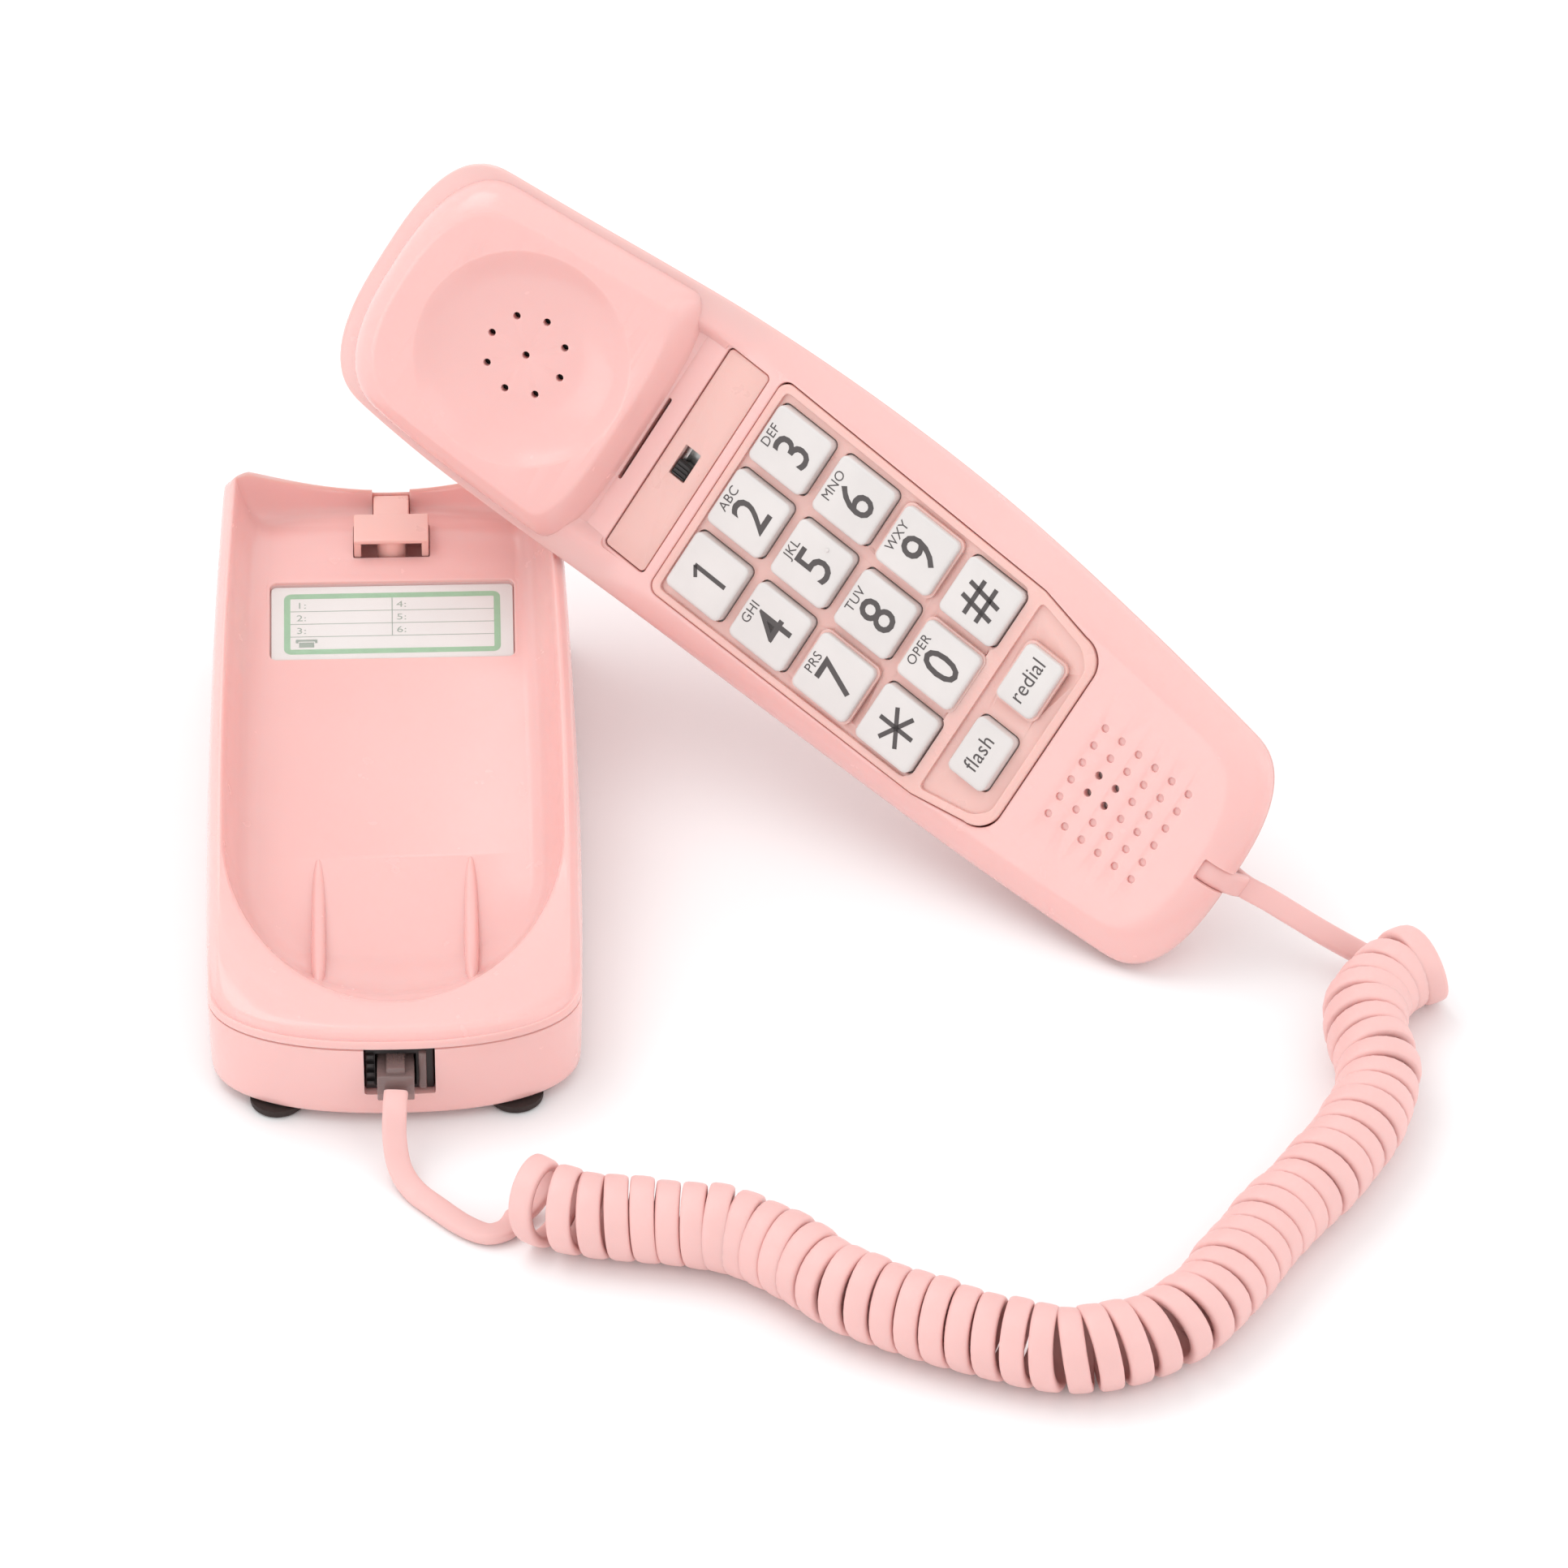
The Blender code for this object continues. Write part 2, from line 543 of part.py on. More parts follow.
def hook_parts(parts, cutters, base):
    plate_low = HOOK_TOP_Z - 2.6 * MM
    plate = box("hook_plunger", (-HOOK_HALF[0], HOOK_Y - HOOK_HALF[1], plate_low),
                (HOOK_HALF[0], HOOK_Y + HOOK_HALF[1], HOOK_TOP_Z), pink(), parts, base)
    tongue = box("tongue", (-3.85 * MM, HOOK_Y, HOOK_TOP_Z - 2.0 * MM),
                 (3.85 * MM, BASE_LENGTH - 0.6 * MM, HOOK_TOP_Z - 0.2 * MM), None, cutters, base)
    peg = cylinder("peg", (0, PEG_Y, 25.3 * MM), 3.5 * MM, HOOK_TOP_Z - 1 * MM - 25.3 * MM, None, cutters, base, 20)
    boolean(plate, tongue, "UNION")
    boolean(plate, peg, "UNION")
    add_bevel(plate, 0.4 * MM)
    box("hook_switch", (-7 * MM, PEG_Y - 5 * MM, 9.9 * MM), (7 * MM, PEG_Y + 5 * MM, 20.3 * MM), black(), parts,
        base, bevel=0.4 * MM)
    turns, per_turn, low, high = 5, 10, 21.0 * MM, plate_low - 0.9 * MM
    helix = []
    for i in range(turns * per_turn + 1):
        a = 2 * math.pi * i / per_turn
        rise = low + (high - low) * i / (turns * per_turn)
        helix.append(BASE_AT + Vector((4.6 * MM * math.cos(a), PEG_Y + 4.6 * MM * math.sin(a), rise)))
    tube("hook_spring", helix, 0.4 * MM, steel(), parts, 1)


def directory_card(parts, base):
    outline = rounded_rectangle(CARD_HALF, 1.2 * MM)
    card = prism("directory_card", outline, -CARD_DEPTH + 0.1 * MM, -CARD_DEPTH + 0.4 * MM, card_paper(), parts, base)
    window = prism("card_window", outline, -CARD_DEPTH + 0.7 * MM, -0.2 * MM, window_clear(), parts, base)
    card.matrix_local = card_frame()
    window.matrix_local = card_frame()


def modular_jack(name, front, back, half_width, low, high, socket_half, socket, mat, parts, cutters, parent):
    """A jack block along y with a blind socket; front is the y of its open face."""
    body = box(name, (-half_width, min(front, back), low), (half_width, max(front, back), high), mat, parts,
               parent, bevel=0.25 * MM)
    inward = 1 if back > front else -1
    ends = sorted((front - inward * 2 * MM, front + inward * socket[2]))
    cutter = box(name + "_socket", (-socket_half, ends[0], socket[0]), (socket_half, ends[1], socket[1]), None,
                 cutters, parent)
    boolean(body, cutter)
    return body


def modular_plug(name, tip, tail, low, parts, cutters, parent):
    """A 4P4C plug along y with its latch on top; the cord enters at its tail."""
    body = box(name, (-PLUG_HALF, min(tip, tail), low), (PLUG_HALF, max(tip, tail), low + 6.2 * MM), smoky(), parts,
               parent)
    toward_tip = 1 if tip > tail else -1
    ends = sorted((tail + toward_tip * 1.0 * MM, tip - toward_tip * 1.5 * MM))
    latch = box(name + "_latch", (-1.9 * MM, ends[0], low + 5.8 * MM), (1.9 * MM, ends[1], low + 7.6 * MM), None,
                cutters, parent)
    boolean(body, latch, "UNION")
    return body


def base_inside(parts, cutters, base):
    jack = box("base_handset_jack", (JACK_X - JACK_HALF + GAP, 2.0 * MM, JACK_Z[0] + GAP),
               (JACK_X + JACK_HALF - GAP, 13.0 * MM, 19.4 * MM), black(), parts, base, bevel=0.25 * MM)
    socket = box("base_handset_socket", (-PLUG_HALF - 0.4 * MM, 0, 9.2 * MM), (PLUG_HALF + 0.4 * MM, 11.5 * MM, 17.6 * MM),
                 None, cutters, base)
    boolean(jack, socket)
    modular_plug("base_plug", 10.8 * MM, -3.6 * MM, 9.6 * MM, parts, cutters, base)
    line_jack = modular_jack("line_jack", 164.4 * MM, 151 * MM, 7.7 * MM, 8 * MM, 18.4 * MM, 5.1 * MM,
                             (9.6 * MM, 16.6 * MM, 11 * MM), black(), parts, cutters, base)
    line_jack.location.x = LINE_JACK_X
    bpy.data.objects["line_jack_socket"].location.x = LINE_JACK_X
    box("base_circuit_board", (-6 * MM, 98 * MM, 8 * MM), (23 * MM, 154 * MM, 9.6 * MM), circuit_board(), parts, base)
    box("ballast_plate", (-27 * MM, 76 * MM, 5.8 * MM), (27 * MM, 95 * MM, 9.8 * MM), steel(), parts, base,
        bevel=0.5 * MM)
    cylinder("ringer", (0, 57 * MM, 5.8 * MM), 13.5 * MM, 4.6 * MM, black(), parts, base, 32, bevel=0.5 * MM)
    for i, (x, y) in enumerate(BASE_SCREWS, 1):
        length = 6.6 * MM if y < 90 * MM else 12.0 * MM
        screw_piece("base_screw_%d" % i, (x, y, 2.3 * MM), 2.8 * MM, 0.9 * MM, 1.3 * MM, length, parts, base)


# ---- handset -----------------------------------------------------------------------------------------

EAR_STATIONS = [y * MM for y in (66, 74, 82, 90, 96)]
HANDSET_STATIONS = [y * MM for y in (-84, -70, -55, -40, -20, 0, 20, 40, 52, 55, 70, 82, 90)]


def handset_half_width(y):
    return HALF_WIDTH - WIDTH_TAPER * (y - 15 * MM) ** 2


def smooth_table(table, y):
    """Hermite interpolation through a table given in millimetres; y and the result are in metres."""
    t = min(max(y / MM, table[0][0]), table[-1][0])
    i = next(k for k in range(len(table) - 1) if t <= table[k + 1][0])
    (x0, z0), (x1, z1) = table[i], table[i + 1]
    before = table[max(i - 1, 0)]
    after = table[min(i + 2, len(table) - 1)]
    slope0 = (z1 - before[1]) / (x1 - before[0])
    slope1 = (after[1] - z0) / (after[0] - x0)
    span = x1 - x0
    u = (t - x0) / span
    return MM * ((1 + 2 * u) * (1 - u) ** 2 * z0 + u * (1 - u) ** 2 * span * slope0
                 + u * u * (3 - 2 * u) * z1 + u * u * (u - 1) * span * slope1)


def widest_z(y):
    return smooth_table(WIDEST, y)


def back_z(y):
    return smooth_table(BACK, y)


def face_z(y):
    """The flat face, and past it the low shoulder around the raised earpiece."""
    return max(0.0, widest_z(y) + 1.0 * MM)


def face_middle(x, y):
    """The face inside its shoulder: flat as far as the raised earpiece."""
    return 0.0 if y < 58 * MM else face_z(y)


def inside_middle(x, y):
    return face_middle(x, y) - SHELL


def plateau_z(x, y):
    return PLATEAU_Z + PLATEAU_SLOPE * (y - PLATEAU_Y[0])


def handset_ring(inset, height, lean=0.0):
    return long_outline((MOUTH_Y + inset + 4 * MM * lean, 14 * MM, 2.7), (EAR_Y - inset - 12 * MM * lean, 15 * MM, 2.8),
                        lambda y: handset_half_width(y) - inset - lean * BACK_LEAN * (widest_z(y) - back_z(y)),
                        HANDSET_STATIONS, height)


def back_share(share, raise_by=0.0):
    """Height at a share of the back's depth below the parting line, raised for an inner wall."""
    return lambda x, y: widest_z(y) - GAP + share * (back_z(y) - widest_z(y)) + raise_by


def front_share(share, drop=0.0):
    """Height at a share of the way from the parting line up to the face."""
    return lambda x, y: widest_z(y) - drop + share * (face_z(y) - widest_z(y))


def inside_share(share):
    return lambda x, y: widest_z(y) - 4 * MM + share * (face_z(y) - SHELL - widest_z(y) + 4 * MM)


def ear_ring(rise, inset, share, drop=0.0):
    """An outline of the raised earpiece; rise is how far its mouth side lies before the flat top."""
    def height(x, y):
        return widest_z(y) - drop + share * (plateau_z(x, y) - widest_z(y))
    far = PLATEAU_Y[1] + (PLATEAU_INSET - inset) * 2.2
    return long_outline((PLATEAU_Y[0] - rise, 7 * MM, 3), (far, 15 * MM, 2.6),
                        lambda y: handset_half_width(y) - inset, EAR_STATIONS, height)


def ear_foot(x, y):
    """Where the raised earpiece starts: inside the face in front, and at the parting line beside it."""
    return -0.8 * MM if y < 60 * MM else widest_z(y) + 0.4 * MM


def handset_front_shell(parts, cutters, handset):
    under = [handset_ring(8.0 * MM, front_share(0, 5.0 * MM)), handset_ring(4.6 * MM, front_share(0))]
    outer = [handset_ring(0, front_share(0)), handset_ring(0.25 * MM, front_share(0.25)),
             handset_ring(1.1 * MM, front_share(0.5)), handset_ring(2.6 * MM, front_share(0.72)),
             handset_ring(4.6 * MM, front_share(0.88)), handset_ring(6.6 * MM, front_share(1.0)),
             handset_ring(9.4 * MM, face_middle)]
    shell = loft("handset_front_shell", under + outer, pink(), parts, handset)
    ear = [with_height(ear_ring(2.8 * MM, 3.2 * MM, 0), ear_foot), ear_ring(2.4 * MM, 3.4 * MM, 0.15),
           ear_ring(1.7 * MM, 4.2 * MM, 0.5), ear_ring(1.1 * MM, 5.1 * MM, 0.8),
           ear_ring(0.6 * MM, 5.8 * MM, 0.95), ear_ring(0.0, PLATEAU_INSET, 1.0)]
    boolean(shell, loft("ear_block", ear, None, cutters, handset), "UNION")
    cavity = [handset_ring(3.0 * MM, front_share(0, 8.0 * MM)), handset_ring(SHELL, inside_share(0)),
              handset_ring(2.6 * MM, inside_share(0.5)),
              handset_ring(4.0 * MM, inside_share(0.85)), handset_ring(7.4 * MM, inside_share(1.0)),
              handset_ring(10.4 * MM, inside_middle)]
    boolean(shell, loft("front_cavity", cavity, None, cutters, handset))
    room = [ear_ring(-1.2 * MM, 6.0 * MM, 0.0, 3.4 * MM), ear_ring(-1.4 * MM, 6.4 * MM, 0.3, 1 * MM),
            with_height(ear_ring(-3.6 * MM, 9.6 * MM, 0), lambda x, y: plateau_z(x, y) - 7.2 * MM)]
    boolean(shell, loft("ear_cavity", room, None, cutters, handset))
    add_handset_bosses(shell, cutters, handset)
    cut_front_openings(shell, cutters, handset)
    return shell


def add_handset_bosses(shell, cutters, handset):
    for i, (x, y) in enumerate(HANDSET_SCREWS):
        top = -1.2 * MM if y < PLATEAU_Y[0] else plateau_z(x, y) - 6 * MM
        boss = cylinder("handset_boss_%d" % i, (x, y, -18 * MM), 3.2 * MM, top + 18 * MM, None, cutters, handset, 16)
        boolean(shell, boss, "UNION")
    for i, (x, y) in enumerate(HANDSET_SCREWS):
        bore = cylinder("handset_bore_%d" % i, (x, y, -30 * MM), 1.2 * MM + GAP, 19.5 * MM, None, cutters, handset, 12)
        boolean(shell, bore)


def bezel_outline(grow=0.0):
    """The bezel's plan: a long rectangle that narrows past the divider, with rounded corners."""
    top, waist, end = (h + grow for h in BEZEL_HALF)
    corners = [(end, BEZEL_END - grow, 6.0), (waist, BEZEL_WAIST, 0.0), (top, BEZEL_TOP + grow, 2.5)]
    right = []
    for index, (x, y, radius) in enumerate(corners):
        if radius == 0:
            right.append((x, y))
            continue
        radius *= MM
        cy = y + radius if index == 0 else y - radius
        start = -90 if index == 0 else 0
        for k in range(4):
            a = math.radians(start + 30 * k)
            right.append((x - radius + radius * math.cos(a), cy + radius * math.sin(a)))
    return right + [(-x, y) for x, y in reversed(right)]


def cut_front_openings(shell, cutters, handset):
    boolean(shell, prism("bezel_opening", bezel_outline(GAP), -10 * MM, 6 * MM, None, cutters, handset))
    panel = rounded_rectangle((PANEL_HALF[0] + GAP, PANEL_HALF[1] + GAP), 1.2 * MM, (0, PANEL_Y))
    boolean(shell, prism("panel_opening", panel, -10 * MM, 6 * MM, None, cutters, handset))
    hang = box("hang_slot", (HANG_SLOT_X - 10.5 * MM, HANG_SLOT_Y - 0.45 * MM, -6 * MM),
               (HANG_SLOT_X + 10.5 * MM, HANG_SLOT_Y + 0.45 * MM, 1.4 * MM), None, cutters, handset)
    boolean(shell, hang)
    mic = [Matrix.Translation((i * MIC_PITCH[0], MIC_Y + j * MIC_PITCH[1], -8 * MM))
           for i in (-0.5, 0.5) for j in (0.5, 1.5)]
    boolean(shell, drill("mic_holes", mic, 0.85 * MM, 14 * MM, cutters, handset))
    boolean(shell, dish_cutter(cutters, handset))
    spots = [(0.0, 0.0)] + [(RING_RADIUS * math.cos(a), RING_RADIUS * math.sin(a))
                            for a in (math.radians(45 * k) for k in range(8))]
    ear = [dish_frame() @ Matrix.Translation((u, v, -9 * MM)) for u, v in spots]
    boolean(shell, drill("ear_holes", ear, EAR_HOLE, 8 * MM, cutters, handset, 8, 0.2))
    cut_plug_opening(shell, "front", cutters, handset)


def cut_plug_opening(shell, label, cutters, handset):
    """The plug's way in at the mouth end, with a narrower notch above it for the latch."""
    boolean(shell, box("plug_opening_" + label, (-4.4 * MM, -112 * MM, -13.5 * MM), (4.4 * MM, -97.1 * MM, -6.2 * MM),
                       None, cutters, handset))
    boolean(shell, box("latch_notch_" + label, (-2.5 * MM, -112 * MM, -10 * MM), (2.5 * MM, -97.1 * MM, -1.0 * MM),
                       None, cutters, handset))


def plateau_tilt():
    return Matrix.Rotation(math.atan(PLATEAU_SLOPE), 3, "X")


def dish_frame():
    place = Matrix.Translation((0, DISH_Y, plateau_z(0, DISH_Y)))
    return place @ plateau_tilt().to_4x4()


def dish_cutter(cutters, handset):
    """The bowl in front of the receiver: a flat floor with a curved wall."""
    profile = [(0, 4.0), (24.6, 4.0), (22.9, 0.3), (21.4, -1.2), (18.6, -2.9), (14.5, -4.1), (9.5, -4.6), (0, -4.6)]
    points = [(r * MM, z * MM) for r, z in profile]
    obj = turned("dish", points, (0, DISH_Y, plateau_z(0, DISH_Y)), None, cutters, handset, 32, plateau_tilt())
    obj.data.materials.clear()
    return obj


def handset_back_shell(parts, cutters, handset):
    rings = [handset_ring(17 * MM, back_share(1.0, SHELL), 1.0), handset_ring(9.5 * MM, back_share(0.97, SHELL), 0.95),
             handset_ring(6.0 * MM, back_share(0.84, SHELL), 0.85), handset_ring(3.5 * MM, back_share(0.6), 0.6),
             handset_ring(SHELL, back_share(0.3), 0.3), handset_ring(SHELL, back_share(0)),
             handset_ring(0, back_share(0)), handset_ring(0, back_share(0.3), 0.3),
             handset_ring(1.1 * MM, back_share(0.6), 0.6), handset_ring(3.4 * MM, back_share(0.84), 0.85),
             handset_ring(8.0 * MM, back_share(0.97), 0.95), handset_ring(17 * MM, back_share(1.0), 1.0)]
    shell = loft("handset_back_shell", rings, pink(), parts, handset)
    for i, (x, y) in enumerate(HANDSET_SCREWS):
        seat = cylinder("handset_seat_%d" % i, (x, y, back_z(y) - 4 * MM), 3.1 * MM, 5.1 * MM, None, cutters,
                        handset, 16)
        bore = cylinder("handset_through_%d" % i, (x, y, back_z(y) - 4 * MM), 1.2 * MM + GAP, 10 * MM, None, cutters,
                        handset, 12)
        boolean(shell, seat)
        boolean(shell, bore)
    cut_plug_opening(shell, "back", cutters, handset)
    seat = box("handset_jack_seat", (-6.5 * MM, -100.1 * MM, -14.6 * MM), (6.5 * MM, -88.3 * MM, -4 * MM), None, cutters,
               handset)
    boolean(shell, seat)
    return shell


def key_place(row, column):
    return ((column - 1) * KEY_PITCH[0], (1.5 - row) * KEY_PITCH[1])


KEY_NAMES = ["key_1", "key_2", "key_3", "key_4", "key_5", "key_6", "key_7", "key_8", "key_9", "key_star", "key_0",
             "key_hash"]


def all_keys():
    """Name, middle and half size of each key."""
    keys = [(name, key_place(i // 3, i % 3), KEY_HALF) for i, name in enumerate(KEY_NAMES)]
    keys.append(("key_flash", (-FUNCTION_X, FUNCTION_Y), FUNCTION_HALF))
    keys.append(("key_redial", (FUNCTION_X, FUNCTION_Y), FUNCTION_HALF))
    return keys


def keypad_bezel(parts, cutters, handset):
    bezel = prism("keypad_bezel", bezel_outline(), -2.2 * MM, 0.5 * MM, pink(), parts, handset)
    upper = [(-24.8, -33.6), (24.8, -33.6), (25.8, 34.8), (-25.8, 34.8)]
    lower = [(-18.6, -53.2), (18.6, -53.2), (21.8, -50.0), (24.4, -37.2), (-24.4, -37.2), (-21.8, -50.0)]
    for name, outline in (("upper_field", upper), ("lower_field", lower)):
        points = [(x * MM, y * MM) for x, y in outline]
        boolean(bezel, prism(name, points, -0.5 * MM, 4 * MM, None, cutters, handset))
    boolean(bezel, key_openings(cutters, handset))
    return bezel


def key_openings(cutters, handset):
    """One cutter with a rounded block for each key."""
    bm = bmesh.new()
    for _, place, half in all_keys():
        outline = rounded_rectangle((half[0] + GAP, half[1] + GAP), 2.3 * MM, place)
        low = [bm.verts.new((x, y, -6 * MM)) for x, y in outline]
        high = [bm.verts.new((x, y, 4 * MM)) for x, y in outline]
        for i in range(len(outline)):
            j = (i + 1) % len(outline)
            bm.faces.new((low[i], low[j], high[j], high[i]))
        bm.faces.new(low)
        bm.faces.new(high)
    return finish_mesh("key_openings", bm, None, cutters, handset)


def keys(parts, handset):
    """Each key's origin is at the middle of its cap, on its own axis of travel."""
    for name, (x, y), half in all_keys():
        bm = bmesh.new()
        layers = [(half[0] + 0.75 * MM, half[1] + 0.75 * MM, -3.6), (half[0] + 0.75 * MM, half[1] + 0.75 * MM, -2.6),
                  (half[0], half[1], -2.6), (half[0], half[1], KEY_TOP / MM - 0.9),
                  (half[0] - 0.35 * MM, half[1] - 0.35 * MM, KEY_TOP / MM - 0.3),
                  (half[0] - 1.4 * MM, half[1] - 1.4 * MM, KEY_TOP / MM)]
        rings = []
        for hx, hy, z in layers:
            radius = min(2.2 * MM, hx * 0.45, hy * 0.45)
            rings.append([bm.verts.new((px, py, z * MM)) for px, py in rounded_rectangle((hx, hy), radius)])
        for lower, upper in zip(rings, rings[1:]):
            for i in range(len(lower)):
                j = (i + 1) % len(lower)
                bm.faces.new((lower[i], lower[j], upper[j], upper[i]))
        bm.faces.new(rings[0])
        bm.faces.new(rings[-1])
        key = finish_mesh(name, bm, key_grey(), parts, handset)
        key.location = (x, y, 0)


def volume_parts(parts, cutters, handset):
    outline = rounded_rectangle(PANEL_HALF, 1.0 * MM, (0, PANEL_Y))
    panel = prism("volume_panel", outline, -2.0 * MM, -0.35 * MM, pink(), parts, handset)
    low, high = KNOB_SLOT_X - KNOB_SLOT_HALF[0], KNOB_SLOT_X + KNOB_SLOT_HALF[0]
    slot = box("knob_slot", (low, PANEL_Y - KNOB_SLOT_HALF[1], -5 * MM), (high, PANEL_Y + KNOB_SLOT_HALF[1], 3 * MM),
               None, cutters, handset)
    boolean(panel, slot)
    body = box("volume_switch_body", (KNOB_SLOT_X - 6.5 * MM, PANEL_Y - 3.4 * MM, -7.6 * MM),
               (KNOB_SLOT_X + 6.5 * MM, PANEL_Y + 3.4 * MM, -3.2 * MM), steel(), parts, handset, bevel=0.3 * MM)
    well = box("stem_well", (low, PANEL_Y - 1.3 * MM, -5.6 * MM), (high, PANEL_Y + 1.3 * MM, 0), None, cutters,
               handset)
    boolean(body, well)
    left = low + 0.15 * MM
    knob = box("volume_knob", (0, -1.75 * MM, -2.8 * MM), (3.5 * MM, 1.75 * MM, -0.6 * MM), black(), parts, handset)
    knob.location = (left, PANEL_Y, 0)
    stem = box("knob_stem", (left + 0.4 * MM, PANEL_Y - 0.9 * MM, -5.0 * MM),
               (left + 3.1 * MM, PANEL_Y + 0.9 * MM, -2.0 * MM), None, cutters, handset)
    boolean(knob, stem, "UNION")
    for i in range(3):
        x = left + (0.75 + 0.85 * i) * MM
        groove = box("knob_groove_%d" % i, (x, PANEL_Y - 3 * MM, -1.0 * MM), (x + 0.35 * MM, PANEL_Y + 3 * MM, 1 * MM),
                     None, cutters, handset)
        boolean(knob, groove)


def handset_inside(parts, cutters, handset):
    box("keypad_membrane", (-25 * MM, -50 * MM, -6.6 * MM), (25 * MM, 35 * MM, -5.3 * MM), membrane_rubber(), parts,
        handset)
    box("handset_circuit_board", (-25 * MM, -50 * MM, -8.6 * MM), (25 * MM, 35 * MM, -7.0 * MM), circuit_board(),
        parts, handset)
    start = dish_frame() @ Vector((0, 0, -14.6 * MM))
    cylinder("earpiece_receiver", start, 13.5 * MM, 6.6 * MM, black(), parts, handset, 28, bevel=0.6 * MM,
             tilt=plateau_tilt())
    cylinder("microphone", (0, MIC_Y + MIC_PITCH[1], -7.8 * MM), 4.8 * MM, 5.0 * MM, steel(), parts, handset, 20, bevel=0.3 * MM)
    modular_jack("handset_jack", -98.9 * MM, -88.6 * MM, 6.0 * MM, -14.2 * MM, -4.0 * MM, PLUG_HALF + 0.4 * MM,
                 (-13.4 * MM, -5.0 * MM, 9.0 * MM), black(), parts, cutters, handset)
    modular_plug("handset_plug", -90.3 * MM, -101.0 * MM, -12.9 * MM, parts, cutters, handset)
    for i, (x, y) in enumerate(HANDSET_SCREWS, 1):
        screw_piece("handset_screw_%d" % i, (x, y, back_z(y) - 0.1 * MM), 2.8 * MM, 0.9 * MM, 1.2 * MM, 11.5 * MM,
                    parts, handset)


# ---- cord ----------------------------------------------------------------------------------------------

def cord(parts):
    for name, points, radius, spacing in (("cord_lead_base", LEAD_BASE, LEAD_RADIUS, 7 * MM),
                                          ("cord_coil", COIL, COIL_RADIUS, 12 * MM),
                                          ("cord_lead_handset", LEAD_HANDSET, LEAD_RADIUS, 7 * MM)):
        places = [BASE_AT + p for p in smooth_points(points, spacing)]
        tube(name, places, radius, cord_pink(), parts)


def main():
    empty_scene()
    parts = new_collection("bedroom_phone")
    cutters = new_collection("cutters")
    base = bpy.data.objects.new("base_frame", None)
    base.location = BASE_AT
    handset = bpy.data.objects.new("handset_frame", None)
    handset.location = BASE_AT + HANDSET_AT
    handset.rotation_mode = "YXZ"
    handset.rotation_euler = Euler([math.radians(a) for a in HANDSET_TURN], "YXZ")
    for frame in (base, handset):
        bpy.context.scene.collection.objects.link(frame)
    base_upper_shell(parts, cutters, base)
    base_lower_shell(parts, cutters, base)
    base_feet(parts, base)
    hook_parts(parts, cutters, base)
    directory_card(parts, base)
    base_inside(parts, cutters, base)
    handset_front_shell(parts, cutters, handset)
    handset_back_shell(parts, cutters, handset)
    keypad_bezel(parts, cutters, handset)
    keys(parts, handset)
    volume_parts(parts, cutters, handset)
    handset_inside(parts, cutters, handset)
    cord(parts)


main()
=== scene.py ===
import math

import bmesh
import bpy
from mathutils import Euler, Matrix, Vector


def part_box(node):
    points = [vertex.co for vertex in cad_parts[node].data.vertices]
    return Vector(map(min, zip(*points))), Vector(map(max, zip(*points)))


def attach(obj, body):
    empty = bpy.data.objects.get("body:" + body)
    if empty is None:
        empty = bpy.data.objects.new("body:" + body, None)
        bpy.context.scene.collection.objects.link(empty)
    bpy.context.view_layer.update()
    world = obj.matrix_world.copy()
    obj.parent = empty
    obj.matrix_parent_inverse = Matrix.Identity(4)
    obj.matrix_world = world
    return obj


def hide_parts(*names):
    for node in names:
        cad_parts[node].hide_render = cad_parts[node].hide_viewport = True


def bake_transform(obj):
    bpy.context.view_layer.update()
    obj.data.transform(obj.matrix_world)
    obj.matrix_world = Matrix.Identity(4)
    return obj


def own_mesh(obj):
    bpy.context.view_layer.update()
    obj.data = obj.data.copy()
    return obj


# Looks of the bedroom telephone: shells, keys, print, cord, materials, light and camera.

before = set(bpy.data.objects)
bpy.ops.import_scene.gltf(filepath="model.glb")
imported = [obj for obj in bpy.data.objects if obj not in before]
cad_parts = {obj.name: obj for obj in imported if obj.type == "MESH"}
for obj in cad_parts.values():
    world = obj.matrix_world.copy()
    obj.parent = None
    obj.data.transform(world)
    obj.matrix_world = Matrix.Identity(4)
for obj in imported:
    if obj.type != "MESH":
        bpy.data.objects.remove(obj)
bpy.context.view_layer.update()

MM = 0.001
GAP = 0.3 * MM

# ---- places, from the frame ------------

SHELL_LOW, SHELL_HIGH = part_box("base_lower_shell")
BASE_AT = Vector(((SHELL_LOW[0] + SHELL_HIGH[0]) / 2, SHELL_LOW[1], 0.0))
BASE = Matrix.Translation(BASE_AT)
HANDSET_AT = Vector((95.85, 106.6, 54.3)) * MM        # from the base's front edge
HANDSET_TURN = (17.24, -57.94, 50.00)                 # pitch, roll and heading, in degrees
HANDSET = (Matrix.Translation(BASE_AT + HANDSET_AT)
           @ Euler([math.radians(a) for a in HANDSET_TURN], "YXZ").to_matrix().to_4x4())

# ---- base ------------
BASE_LENGTH = 165 * MM
BASE_HALF_WIDTH = 39.0 * MM
BASE_TAPER = 0.29
WALL = 2.4 * MM
FOOT_HEIGHT = 2.2 * MM
SEAM_Z = 20.1 * MM
RIM_FRONT_Z, RIM_BACK_Z, SADDLE_Z = 24.0 * MM, 48.6 * MM, 39.4 * MM
FLOOR_MIN_Z, FLOOR_SLOPE = 12.0 * MM, 0.2
LEDGE_Y, LEDGE_Z = 153.3 * MM, 35.0 * MM
BACK_WALL_Y = 162.5 * MM
CARD_HALF, CARD_Y, CARD_DEPTH = (25.7 * MM, 10.4 * MM), 129.6 * MM, 1.6 * MM
HOOK_HALF_WIDTH, HOOK_TOP_Z = 8.0 * MM, 38.0 * MM
